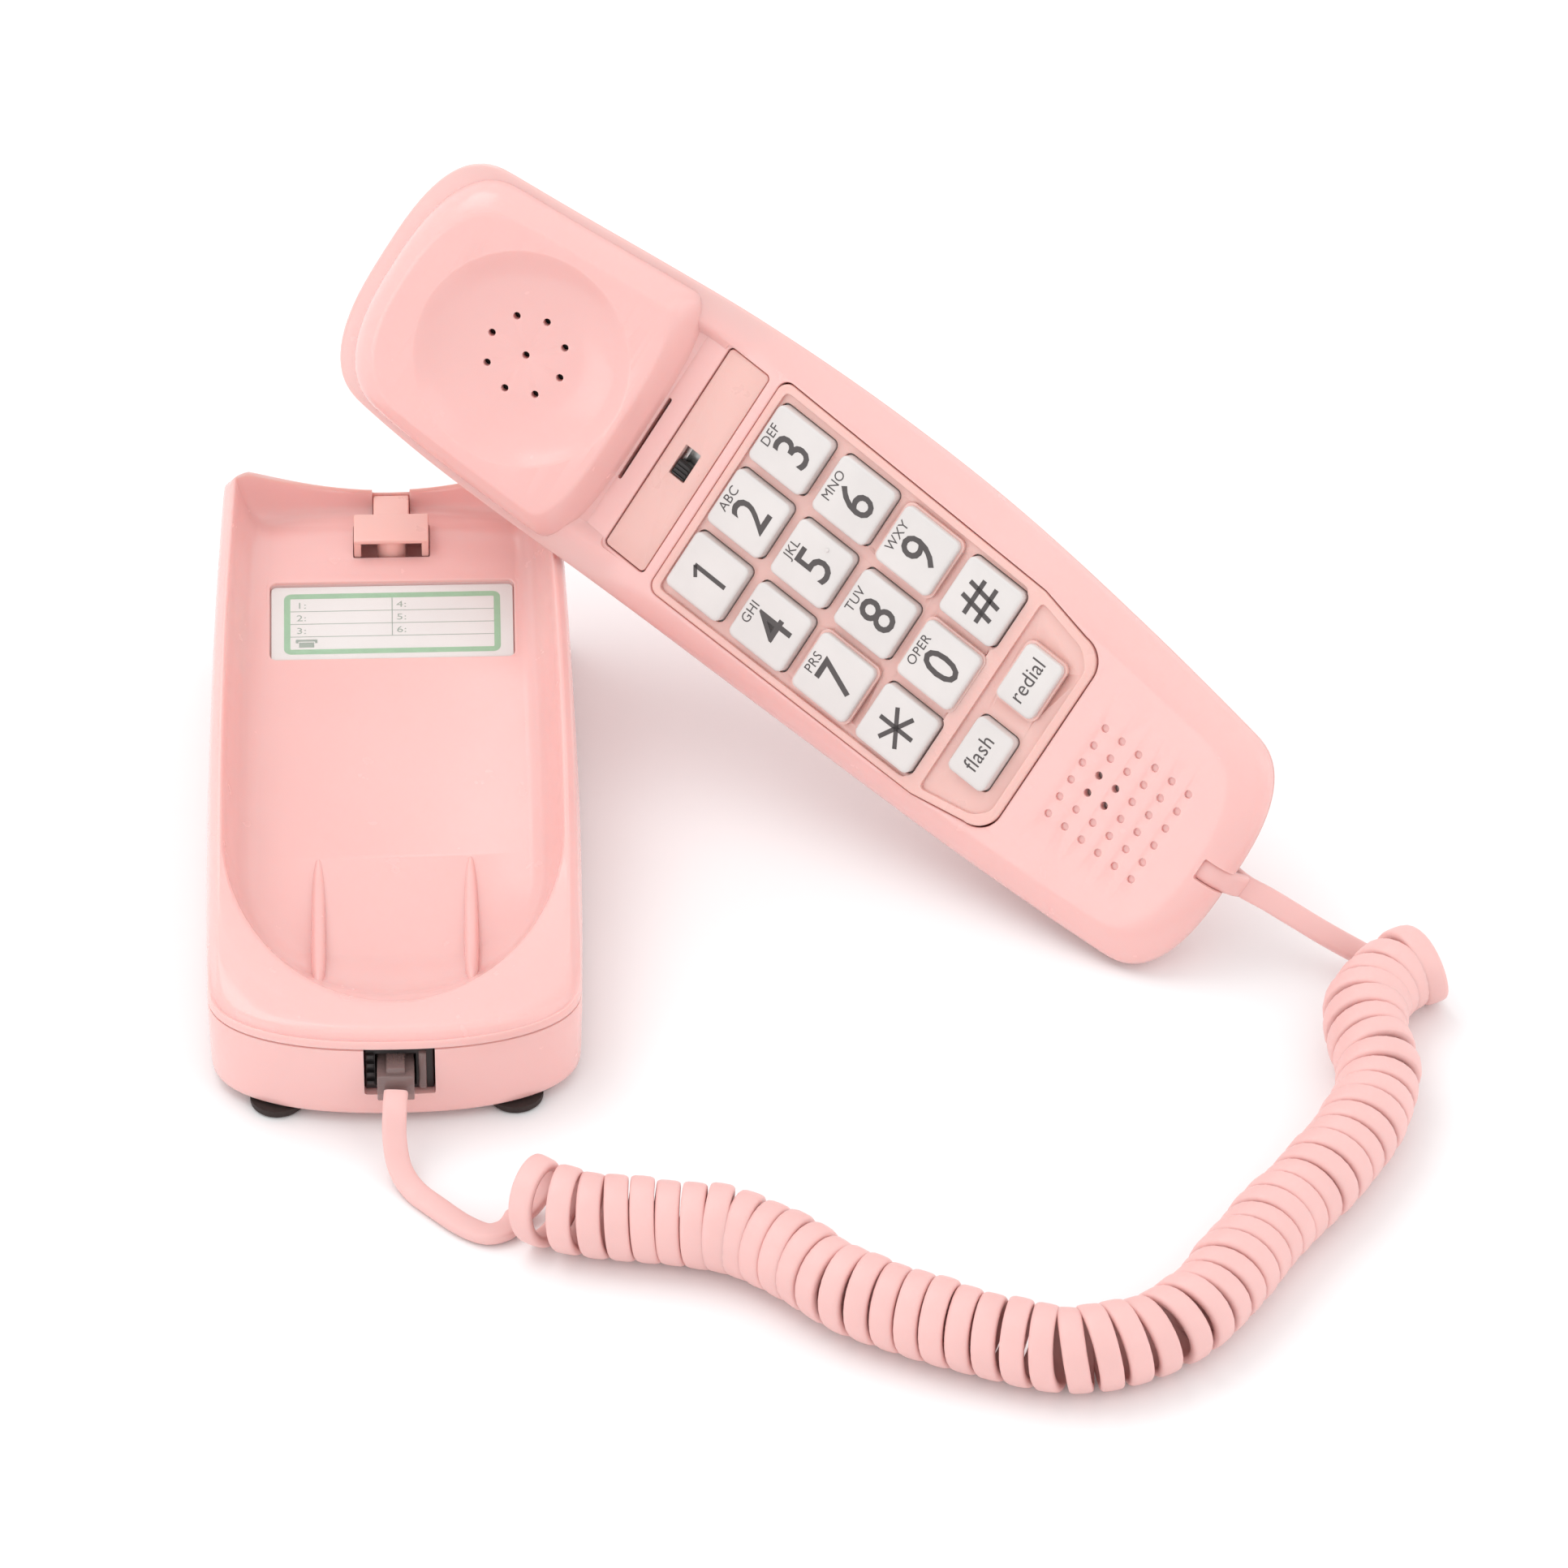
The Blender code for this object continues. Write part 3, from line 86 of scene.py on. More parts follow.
PLATE_Y, PEG_Y = (146.9 * MM, 156.3 * MM), 150.3 * MM
WELL_FLOOR_Z, WELL_TOP_Z = 29.0 * MM, 60 * MM
JACK_X, JACK_HALF, JACK_Z = 0.8 * MM, 7.3 * MM, (8.0 * MM, 19.7 * MM)
PLUG_HALF = 3.82 * MM
FEET = [(-24.5, 8.2), (24.5, 8.2), (-26, 152), (26, 152)]
LINE_JACK_X = -17 * MM

# ---- handset: x across, y towards the ear, z out of the keypad ------------
HALF_WIDTH, WIDTH_TAPER = 34.75 * MM, 0.53
MOUTH_Y, EAR_Y = -103.1 * MM, 121.6 * MM
WIDEST = [(-110, -4.0), (-85, -5.0), (-55, -7.0), (-15, -9.0), (20, -6.0), (50, 0.0), (70, 6.5), (90, 12.5),
          (108, 15.5), (125, 16.5)]
BACK = [(-110, -15), (-95, -19), (-60, -24), (0, -27.5), (55, -27), (90, -20), (110, -8), (125, 3)]
BACK_LEAN = 0.3
SHELL = 2.3 * MM
PLATEAU_Y, PLATEAU_INSET = (59.2 * MM, 111.0 * MM), 6.6 * MM
PLATEAU_Z = 10.4 * MM
PLATEAU_SLOPE = math.tan(math.radians(15.5))
DISH_Y = 82.4 * MM
FLAT_END = 57.6 * MM
RING_RADIUS, EAR_HOLE = 8.6 * MM, 0.8 * MM
KEY_PITCH, KEY_HALF, KEY_TOP = (16.6 * MM, 17.7 * MM), (6.95 * MM, 7.4 * MM), 2.3 * MM
FUNCTION_Y, FUNCTION_X, FUNCTION_HALF = -44.9 * MM, 9.5 * MM, (6.85 * MM, 4.95 * MM)
BEZEL_TOP, BEZEL_WAIST, BEZEL_END = 36.7 * MM, -36.4 * MM, -55.1 * MM
BEZEL_HALF = (27.4 * MM, 26.4 * MM, 23.9 * MM)
PANEL_Y, PANEL_HALF = 45.1 * MM, (25.6 * MM, 5.35 * MM)
KNOB_SLOT_X, KNOB_SLOT_HALF = -0.95 * MM, (3.6 * MM, 2.05 * MM)
MIC_Y, MIC_PITCH = -75.0 * MM, (4.45 * MM, 4.55 * MM)
HANG_SLOT_X, HANG_SLOT_Y = -1.9 * MM, 55.5 * MM
HANDSET_SCREWS = [(0, -59.2 * MM), (0, 64.5 * MM)]

# ---- cord: the route from the base's front edge, in millimetres ------------
CORD_WIDTH, CORD_THICKNESS = 5.0 * MM, 2.5 * MM
COIL_RADIUS = 8.9 * MM
LEAD_BASE = [(0, -4.6, 12.6), (-0.3, -8.5, 11.2), (-0.4, -12.5, 7.0), (0.6, -17.5, 3.4), (3.4, -22.6, 1.8),
             (8.0, -28.0, 1.7), (13.4, -33.6, 1.7), (18.0, -36.4, 1.7), (21.4, -35.6, 1.7),
             (23.2, -33.6, 1.7), (24.0, -31.5, 1.7)]
COIL = [(24.0, -31.5, 9.2), (31.0, -36.6, 9.2), (39.0, -39.6, 9.2), (48, -41.2, 9.2), (58, -43.0, 9.2),
        (69, -46.2, 9.2), (80, -54.0, 9.2), (91, -64.5, 9.2), (106, -73.0, 9.2), (122, -80.0, 9.2),
        (135, -83.5, 9.2), (149, -80.2, 9.2), (160, -72.0, 9.2), (169, -59.0, 9.2), (177, -46.0, 9.2),
        (189, -30.0, 9.2), (198, -14.0, 9.2), (201.5, 0.0, 9.2), (200.0, 12.0, 9.2), (201.0, 22.0, 9.2),
        (207, 31.0, 9.2), (214, 35.0, 9.2)]
LEAD_HANDSET = [(214.0, 35.0, 1.7), (212.8, 37.2, 1.7), (209.5, 40.2, 1.9), (204.5, 42.0, 3.4),
                (199.0, 43.0, 6.4), (193.0, 43.9, 10.1), (187.0, 45.3, 13.8), (181.5, 47.2, 16.7),
                (177.0, 49.3, 18.3), (174.3, 51.6, 19.25)]
TURN_PITCH = 5.3 * MM
STEPS_A_TURN = 24
COIL_VARIATION = 0.16 * MM
PULLED_OPEN = [(0.0, 0.03, 0.9), (0.40, 0.012, 0.15), (0.52, 0.014, 0.2), (0.86, 0.015, 0.2),
               (1.0, 0.015, 0.5)]            # share along the coil, width, and how much wider the pitch

# ---- camera and light ------------
CAMERA_AT = Vector((26.8, -1770.9, 1522.8)) * MM      # from the base's front edge
CAMERA_LOOK = Vector((0.0231, 0.7768, -0.6293))
CAMERA_RIGHT = Vector((0.9996, -0.0297, 0.0))
LENS = 260.9


def make_camera():
    data = bpy.data.cameras.new("camera")
    data.lens = LENS
    data.sensor_width = 36
    data.clip_end = 20
    camera = bpy.data.objects.new("camera", data)
    bpy.context.scene.collection.objects.link(camera)
    look = CAMERA_LOOK.normalized()
    right = (CAMERA_RIGHT - look * CAMERA_RIGHT.dot(look)).normalized()
    up = right.cross(look)
    turn = Matrix((right, up, -look)).transposed().to_4x4()
    camera.matrix_world = Matrix.Translation(BASE_AT + CAMERA_AT) @ turn
    bpy.context.scene.camera = camera


def area_light(name, place, target, size, power, color=(1, 1, 1)):
    data = bpy.data.lights.new(name, "AREA")
    data.shape = "RECTANGLE"
    data.size, data.size_y = size
    data.energy = power
    data.color = color
    lamp = bpy.data.objects.new(name, data)
    bpy.context.scene.collection.objects.link(lamp)
    away = Vector(place) - Vector(target)
    lamp.matrix_world = Matrix.Translation(Vector(place)) @ away.to_track_quat("Z", "Y").to_matrix().to_4x4()


def make_stage():
    bm = bmesh.new()
    bmesh.ops.create_grid(bm, x_segments=1, y_segments=1, size=6.0)
    mesh = bpy.data.meshes.new("floor")
    bm.to_mesh(mesh)
    bm.free()
    floor = bpy.data.objects.new("floor", mesh)
    bpy.context.scene.collection.objects.link(floor)
    mesh.materials.append(new_material("studio_floor", (0.93, 0.93, 0.935), 0.6)[0])
    world = bpy.data.worlds.new("studio")
    world.use_nodes = True
    background = world.node_tree.nodes["Background"]
    background.inputs["Color"].default_value = (1.0, 1.0, 1.0, 1.0)
    background.inputs["Strength"].default_value = 1.0
    bpy.context.scene.world = world
    target = (0.0, 0.0, 0.04)
    area_light("key_light", (-0.9, 0.5, 1.9), target, (1.5, 1.2), 11)
    area_light("fill_light", (1.5, -1.0, 1.6), target, (1.6, 1.2), 4)
    area_light("left_light", (-1.5, -0.9, 0.5), target, (1.2, 0.8), 4)
    area_light("right_light", (1.6, -0.5, 0.5), target, (1.2, 0.8), 3)
    bpy.context.scene.view_settings.view_transform = "Standard"


# ---- materials ------------

def new_material(name, color, roughness, metallic=0.0, alpha=1.0):
    mat = bpy.data.materials.new(name)
    mat.use_nodes = True
    shader = mat.node_tree.nodes["Principled BSDF"]
    shader.inputs["Base Color"].default_value = (*color, 1.0)
    shader.inputs["Roughness"].default_value = roughness
    shader.inputs["Metallic"].default_value = metallic
    shader.inputs["Alpha"].default_value = alpha
    return mat, shader


def add_noise(mat, scale, detail=3.0):
    nodes, links = mat.node_tree.nodes, mat.node_tree.links
    place = nodes.new("ShaderNodeTexCoord")
    noise = nodes.new("ShaderNodeTexNoise")
    noise.inputs["Scale"].default_value = scale
    noise.inputs["Detail"].default_value = detail
    links.new(place.outputs["Object"], noise.inputs["Vector"])
    return noise


def vary_color(mat, shader, low, high, scale):
    """The colour drifts softly between two near tints, as pigment does in moulded plastic."""
    nodes, links = mat.node_tree.nodes, mat.node_tree.links
    noise = add_noise(mat, scale)
    ramp = nodes.new("ShaderNodeValToRGB")
    ramp.color_ramp.elements[0].position = 0.35
    ramp.color_ramp.elements[0].color = (*low, 1)
    ramp.color_ramp.elements[1].position = 0.65
    ramp.color_ramp.elements[1].color = (*high, 1)
    links.new(noise.outputs["Fac"], ramp.inputs["Fac"])
    links.new(ramp.outputs["Color"], shader.inputs["Base Color"])


def vary_roughness(mat, shader, low, high, scale):
    nodes, links = mat.node_tree.nodes, mat.node_tree.links
    noise = add_noise(mat, scale, 5.0)
    spread = nodes.new("ShaderNodeMapRange")
    spread.inputs["From Min"].default_value = 0.3
    spread.inputs["From Max"].default_value = 0.7
    spread.inputs["To Min"].default_value = low
    spread.inputs["To Max"].default_value = high
    links.new(noise.outputs["Fac"], spread.inputs["Value"])
    links.new(spread.outputs["Result"], shader.inputs["Roughness"])


def add_bump(mat, shader, scale, strength, distance):
    nodes, links = mat.node_tree.nodes, mat.node_tree.links
    noise = add_noise(mat, scale, 2.0)
    bump = nodes.new("ShaderNodeBump")
    bump.inputs["Strength"].default_value = strength
    bump.inputs["Distance"].default_value = distance
    links.new(noise.outputs["Fac"], bump.inputs["Height"])
    links.new(bump.outputs["Normal"], shader.inputs["Normal"])


def glossy_plastic(name, color, roughness=0.22):
    mat, shader = new_material(name, color, roughness)
    darker = tuple(c * 0.975 for c in color)
    vary_color(mat, shader, darker, color, 35)
    vary_roughness(mat, shader, roughness * 0.85, roughness * 1.25, 160)
    add_bump(mat, shader, 900, 0.06, 0.0001)
    shader.inputs["Coat Weight"].default_value = 0.2
    shader.inputs["Coat Roughness"].default_value = 0.12
    shader.inputs["Subsurface Weight"].default_value = 0.3
    shader.inputs["Subsurface Radius"].default_value = (1.0, 0.4, 0.3)
    shader.inputs["Subsurface Scale"].default_value = 0.003
    return mat


def satin_plastic(name, color, roughness=0.42):
    mat, shader = new_material(name, color, roughness)
    darker = tuple(c * 0.95 for c in color)
    vary_color(mat, shader, darker, color, 60)
    vary_roughness(mat, shader, roughness * 0.85, roughness * 1.2, 300)
    add_bump(mat, shader, 2600, 0.15, 0.0001)
    return mat


def vinyl(name, color):
    mat, shader = new_material(name, color, 0.45)
    darker = tuple(c * 0.96 for c in color)
    vary_color(mat, shader, darker, color, 90)
    vary_roughness(mat, shader, 0.4, 0.55, 400)
    add_bump(mat, shader, 1500, 0.12, 0.0001)
    shader.inputs["Subsurface Weight"].default_value = 0.15
    shader.inputs["Subsurface Radius"].default_value = (1.0, 0.45, 0.35)
    shader.inputs["Subsurface Scale"].default_value = 0.001
    return mat


def tinted_clear(name, color, alpha):
    mat, shader = new_material(name, color, 0.1, alpha=alpha)
    vary_roughness(mat, shader, 0.06, 0.14, 500)
    shader.inputs["Coat Weight"].default_value = 0.5
    shader.inputs["Coat Roughness"].default_value = 0.05
    return mat


def metal(name, color, roughness):
    mat, shader = new_material(name, color, roughness, metallic=1.0)
    vary_roughness(mat, shader, roughness * 0.8, roughness * 1.4, 700)
    add_bump(mat, shader, 1200, 0.1, 0.0001)
    return mat


def printed(name, color):
    mat, shader = new_material(name, color, 0.5)
    vary_color(mat, shader, tuple(c * 0.9 for c in color), color, 500)
    return mat


PINK = glossy_plastic("pink_gloss", (0.850, 0.500, 0.475))
PINK_SOFT = glossy_plastic("pink_bezel", (0.800, 0.490, 0.445), 0.3)
HOOK_PINK = glossy_plastic("hook_gloss", (0.860, 0.500, 0.450), 0.3)
KEY_GREY = satin_plastic("key_satin", (0.700, 0.670, 0.655), 0.35)
BLACK = satin_plastic("black_satin", (0.018, 0.015, 0.015))
CORD_PINK = vinyl("cord_vinyl", (0.830, 0.500, 0.475))
RUBBER = satin_plastic("foot_rubber_matt", (0.030, 0.018, 0.016), 0.75)
SMOKY = tinted_clear("smoky_plug", (0.30, 0.20, 0.19), 0.62)
CLEAR = tinted_clear("card_cover", (0.95, 0.95, 0.95), 0.10)
PAPER = satin_plastic("card_stock", (0.800, 0.775, 0.755), 0.7)
INK = printed("print_dark", (0.075, 0.065, 0.065))
INK_GREEN = printed("print_green", (0.235, 0.50, 0.265))
INK_DULL = printed("print_dull_green", (0.25, 0.33, 0.26))
STEEL = metal("plated_steel", (0.62, 0.61, 0.60), 0.3)
BRASSY = metal("gilt_contact", (0.80, 0.62, 0.30), 0.25)
BOARD = satin_plastic("board_green", (0.03, 0.13, 0.05), 0.45)
MEMBRANE = satin_plastic("membrane_light", (0.70, 0.64, 0.62), 0.6)


# ---- building blocks ------------

def mesh_object(name, bm, mat, place, smooth_angle=35):
    """An object whose mesh is moved to its place, so that its own origin stays at the world's."""
    bmesh.ops.recalc_face_normals(bm, faces=bm.faces)
    if bm.calc_volume(signed=True) < 0:
        bmesh.ops.reverse_faces(bm, faces=bm.faces)
    bm.transform(place)
    mesh = bpy.data.meshes.new(name)
    bm.to_mesh(mesh)
    bm.free()
    mesh.shade_smooth()
    mesh.set_sharp_from_angle(angle=math.radians(smooth_angle))
    if mat:
        mesh.materials.append(mat)
    obj = bpy.data.objects.new(name, mesh)
    bpy.context.scene.collection.objects.link(obj)
    return obj


def skin(bm, rings, closed_ends=True, ladder=True):
    """Faces between rings of equally many points, with both end rings closed."""
    verts = [[bm.verts.new(p) for p in ring] for ring in rings]
    count = len(rings[0])
    for low, high in zip(verts, verts[1:]):
        for i in range(count):
            j = (i + 1) % count
            bm.faces.new((low[i], low[j], high[j], high[i]))
    if not closed_ends:
        return
    for ring in (verts[0], verts[-1]):
        if not ladder:
            bm.faces.new(ring)
            continue
        half = count // 2
        bm.faces.new((ring[0], ring[1], ring[-1]))
        bm.faces.new((ring[half - 1], ring[half], ring[half + 1]))
        for i in range(1, half - 1):
            bm.faces.new((ring[i], ring[i + 1], ring[count - i - 1], ring[count - i]))


def loft(name, rings, mat, place, ladder=True, smooth_angle=35):
    bm = bmesh.new()
    skin(bm, rings, ladder=ladder)
    return mesh_object(name, bm, mat, place, smooth_angle)


def refined(rings, steps):
    """Extra rings on smooth curves that pass through the given ones."""
    result, last = [], len(rings) - 1
    for i in range(last):
        spans = list(zip(rings[max(i - 1, 0)], rings[i], rings[i + 1], rings[min(i + 2, last)]))
        for k in range(steps):
            result.append([spline_point(*[Vector(p) for p in span], k / steps) for span in spans])
    return result + [rings[-1]]


def spline_point(a, b, c, d, t):
    """A point between b and c on the centripetal curve through a, b, c and d."""
    ab, bc, cd = [max((q - p).length, 1e-9) ** 0.5 for p, q in ((a, b), (b, c), (c, d))]
    leave, arrive = c - b, c - b
    if (b - a).length > 1e-7:
        leave = c - b + bc * ((b - a) / ab - (c - a) / (ab + bc))
    if (d - c).length > 1e-7:
        arrive = c - b + bc * ((d - c) / cd - (d - b) / (bc + cd))
    return ((2 * (b - c) + leave + arrive) * t ** 3 + (3 * (c - b) - 2 * leave - arrive) * t ** 2
            + leave * t + b)


def apply_modifiers(obj):
    bpy.context.view_layer.update()
    depsgraph = bpy.context.evaluated_depsgraph_get()
    mesh = bpy.data.meshes.new_from_object(obj.evaluated_get(depsgraph))
    obj.modifiers.clear()
    obj.data = mesh


def combine(obj, cutter, operation="DIFFERENCE"):
    """Cuts or adds the other solid, which is then removed."""
    mod = obj.modifiers.new("combine", "BOOLEAN")
    mod.operation = operation
    mod.solver = "EXACT"
    mod.object = cutter
    apply_modifiers(obj)
    bpy.data.objects.remove(cutter, do_unlink=True)
    obj.data.set_sharp_from_angle(angle=math.radians(32))


def rounded_rectangle(half, radius, centre=(0, 0), steps=8):
    points = []
    for sx, sy, start in [(1, -1, -90), (1, 1, 0), (-1, 1, 90), (-1, -1, 180)]:
        cx = centre[0] + sx * (half[0] - radius)
        cy = centre[1] + sy * (half[1] - radius)
        for k in range(steps + 1):
            a = math.radians(start + 90 * k / steps)
            points.append((cx + radius * math.cos(a), cy + radius * math.sin(a)))
    return points


def offset_outline(outline, distance):
    """The outline moved outwards by a distance, along the mitre at each corner."""
    count, moved = len(outline), []
    for i, point in enumerate(outline):
        before, here, after = Vector(outline[i - 1]), Vector(point), Vector(outline[(i + 1) % count])
        first = (here - before).normalized()
        second = (after - here).normalized()
        normal = Vector((first.y + second.y, -first.x - second.x))
        normal = normal.normalized() if normal.length > 1e-6 else Vector((first.y, -first.x))
        reach = max(normal.dot(Vector((first.y, -first.x))), 0.5)
        moved.append(tuple(here + normal * (distance / reach)))
    return moved


def layers(outline, profile):
    """Rings of an outline at (outward distance, height) steps, in millimetres."""
    return [[(x, y, z * MM) for x, y in offset_outline(outline, d * MM)] for d, z in profile]


def prism(name, outline, profile, mat, place, smooth_angle=35):
    return loft(name, layers(outline, profile), mat, place, ladder=False, smooth_angle=smooth_angle)


ROUND_RIM = [(0, -0.42), (0.03, -0.25), (0.11, -0.12), (0.24, -0.04), (0.42, 0.0), (0.9, 0.06), (0.9, 4.0)]


def flared_cutter(name, outline, depth, place, surface=0.0, width=1.0):
    """A cutter that leaves a softly rounded edge where it meets a flat surface; depth in millimetres."""
    rim = [(d * width, surface + z * width) for d, z in ROUND_RIM]
    return prism(name, outline, [(0, surface - depth)] + rim, None, place)


def round_outline(radius, centre=(0, 0), sides=24):
    return [(centre[0] + radius * math.cos(2 * math.pi * k / sides),
             centre[1] + radius * math.sin(2 * math.pi * k / sides)) for k in range(sides)]


def soft_box(name, low, high, mat, place, bevel=0.3 * MM, segments=3):
    bm = bmesh.new()
    size, middle = Vector(high) - Vector(low), (Vector(high) + Vector(low)) / 2
    bmesh.ops.create_cube(bm, size=1.0, matrix=Matrix.Translation(middle) @ Matrix.Diagonal((*size, 1.0)))
    if bevel:
        bmesh.ops.bevel(bm, geom=bm.edges[:], offset=bevel, segments=segments, profile=0.5, affect="EDGES")
    return mesh_object(name, bm, mat, place)


def lathe(name, profile, mat, place, steps=48, smooth_angle=35):
    """A profile of (radius, z) in metres turned about z; it starts and ends on the axis."""
    bm = bmesh.new()
    rings = []
    for radius, z in profile[1:-1]:
        rings.append([bm.verts.new((radius * math.cos(2 * math.pi * k / steps),
                                    radius * math.sin(2 * math.pi * k / steps), z)) for k in range(steps)])
    for low, high in zip(rings, rings[1:]):
        for k in range(steps):
            j = (k + 1) % steps
            bm.faces.new((low[k], low[j], high[j], high[k]))
    for ring, (_, z) in ((rings[0], profile[0]), (rings[-1], profile[-1])):
        centre = bm.verts.new((0, 0, z))
        for k in range(steps):
            bm.faces.new((centre, ring[k], ring[(k + 1) % steps]))
    return mesh_object(name, bm, mat, place, smooth_angle)


def merge(name, pieces):
    """One object made of several, with all their materials."""
    target = pieces[0]
    bm = bmesh.new()
    mats = []
    for piece in pieces:
        mat = piece.data.materials[0]
        if mat not in mats:
            mats.append(mat)
        extra = piece.data.copy()
        for polygon in extra.polygons:
            polygon.material_index = mats.index(mat)
        bm.from_mesh(extra)
        bpy.data.meshes.remove(extra)
    mesh = bpy.data.meshes.new(name)
    bm.to_mesh(mesh)
    bm.free()
    for mat in mats:
        mesh.materials.append(mat)
    mesh.set_sharp_from_angle(angle=math.radians(35))
    target.data = mesh
    target.name = name
    for piece in pieces[1:]:
        bpy.data.objects.remove(piece, do_unlink=True)
    return target


def lettering(name, text, size, place, mat, width=1.0, bold=0.0):
    """Printed text: thin raised ink, centred on the origin of its place."""
    curve = bpy.data.curves.new(name, "FONT")
    curve.body = text
    curve.size = size
    curve.align_x, curve.align_y = "CENTER", "CENTER"
    curve.extrude = 0.02 * MM
    curve.offset = bold
    curve.resolution_u = 3
    curve.space_character = 1.05
    obj = bpy.data.objects.new(name + "_curve", curve)
    bpy.context.scene.collection.objects.link(obj)
    bpy.context.view_layer.update()
    depsgraph = bpy.context.evaluated_depsgraph_get()
    mesh = bpy.data.meshes.new_from_object(obj.evaluated_get(depsgraph))
    bpy.data.objects.remove(obj, do_unlink=True)
    mesh.transform(place @ Matrix.Diagonal((width, 1, 1, 1)))
    mesh.materials.clear()
    mesh.materials.append(mat)
    printed_piece = bpy.data.objects.new(name, mesh)
    bpy.context.scene.collection.objects.link(printed_piece)
    return printed_piece


def put(obj, body, slot, *nodes):
    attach(obj, body)
    if nodes:
        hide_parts(*nodes)
    return obj


# ---- base surfaces ------------

ARC_STEPS = 18


def long_outline(start, end, half_width, stations, height):
    """A closed outline, symmetric about x = 0, with a superellipse arc (y, depth, power) at each end."""
    y0, depth0, power0 = start
    y1, depth1, power1 = end
    low, high = y0 + depth0 + 1 * MM, y1 - depth1 - 1 * MM
    half = []
    for k in range(ARC_STEPS + 1):
        t = math.pi / 2 * k / ARC_STEPS
        y = y0 + depth0 * (1 - math.cos(t) ** (2 / power0))
        half.append((half_width(y) * math.sin(t) ** (2 / power0), y))
    for k in range(stations + 1):
        y = low + (high - low) * k / stations
        half.append((half_width(y), y))
    for k in range(ARC_STEPS, -1, -1):
        t = math.pi / 2 * k / ARC_STEPS
        y = y1 - depth1 * (1 - math.cos(t) ** (2 / power1))
        half.append((half_width(y) * math.sin(t) ** (2 / power1), y))
    outline = half + [(-x, y) for x, y in reversed(half[1:-1])]
    return [(x, y, height(x, y) if callable(height) else height) for x, y in outline]


def superellipse(centre, half, power, count, height):
    points = []
    for i in range(count):
        t = -math.pi / 2 + 2 * math.pi * i / count
        c, s = math.cos(t), math.sin(t)
        x = centre[0] + half[0] * math.copysign(abs(c) ** (2 / power), c)
        y = centre[1] + half[1] * math.copysign(abs(s) ** (2 / power), s)
        points.append((x, y, height(x, y) if callable(height) else height))
    return points


def base_half_width(y):
    return BASE_HALF_WIDTH - BASE_TAPER * (y - 60 * MM) ** 2


def rim_z(x, y):
    side = RIM_FRONT_Z + (RIM_BACK_Z - RIM_FRONT_Z) * max(y - 12 * MM, 0) / (BASE_LENGTH - 12 * MM)
    if y < 157 * MM:
        return side
    return min(side, SADDLE_Z + (RIM_BACK_Z - SADDLE_Z) * (x / (32 * MM)) ** 2)


def floor_z(y):
    if y > LEDGE_Y:
        return LEDGE_Z - 0.4 * MM
    return max(FLOOR_MIN_Z, LEDGE_Z - FLOOR_SLOPE * (LEDGE_Y - y))


def outer_ring(inset, height):
    return long_outline((inset, 18 * MM, 2.3), (BASE_LENGTH - inset, 7 * MM, 2),
                        lambda y: base_half_width(y) - inset, 36, height)


def inner_ring(front, depth, inset, back, height, back_depth=5 * MM):
    return long_outline((front, depth, 2), (back, back_depth, 2), lambda y: base_half_width(y) - inset, 36,
                        height)


def between(share):
    return lambda x, y: floor_z(y) + share * (rim_z(x, y) - floor_z(y))


def below_floor(drop, lowest=0.0):
    return lambda x, y: max(floor_z(y) - drop, lowest)


def blend_rings(first, second, share):
    return [tuple(Vector(a).lerp(Vector(b), share)) for a, b in zip(first, second)]


def with_height(ring, height):
    return [(x, y, height(x, y)) for x, y, _ in ring]


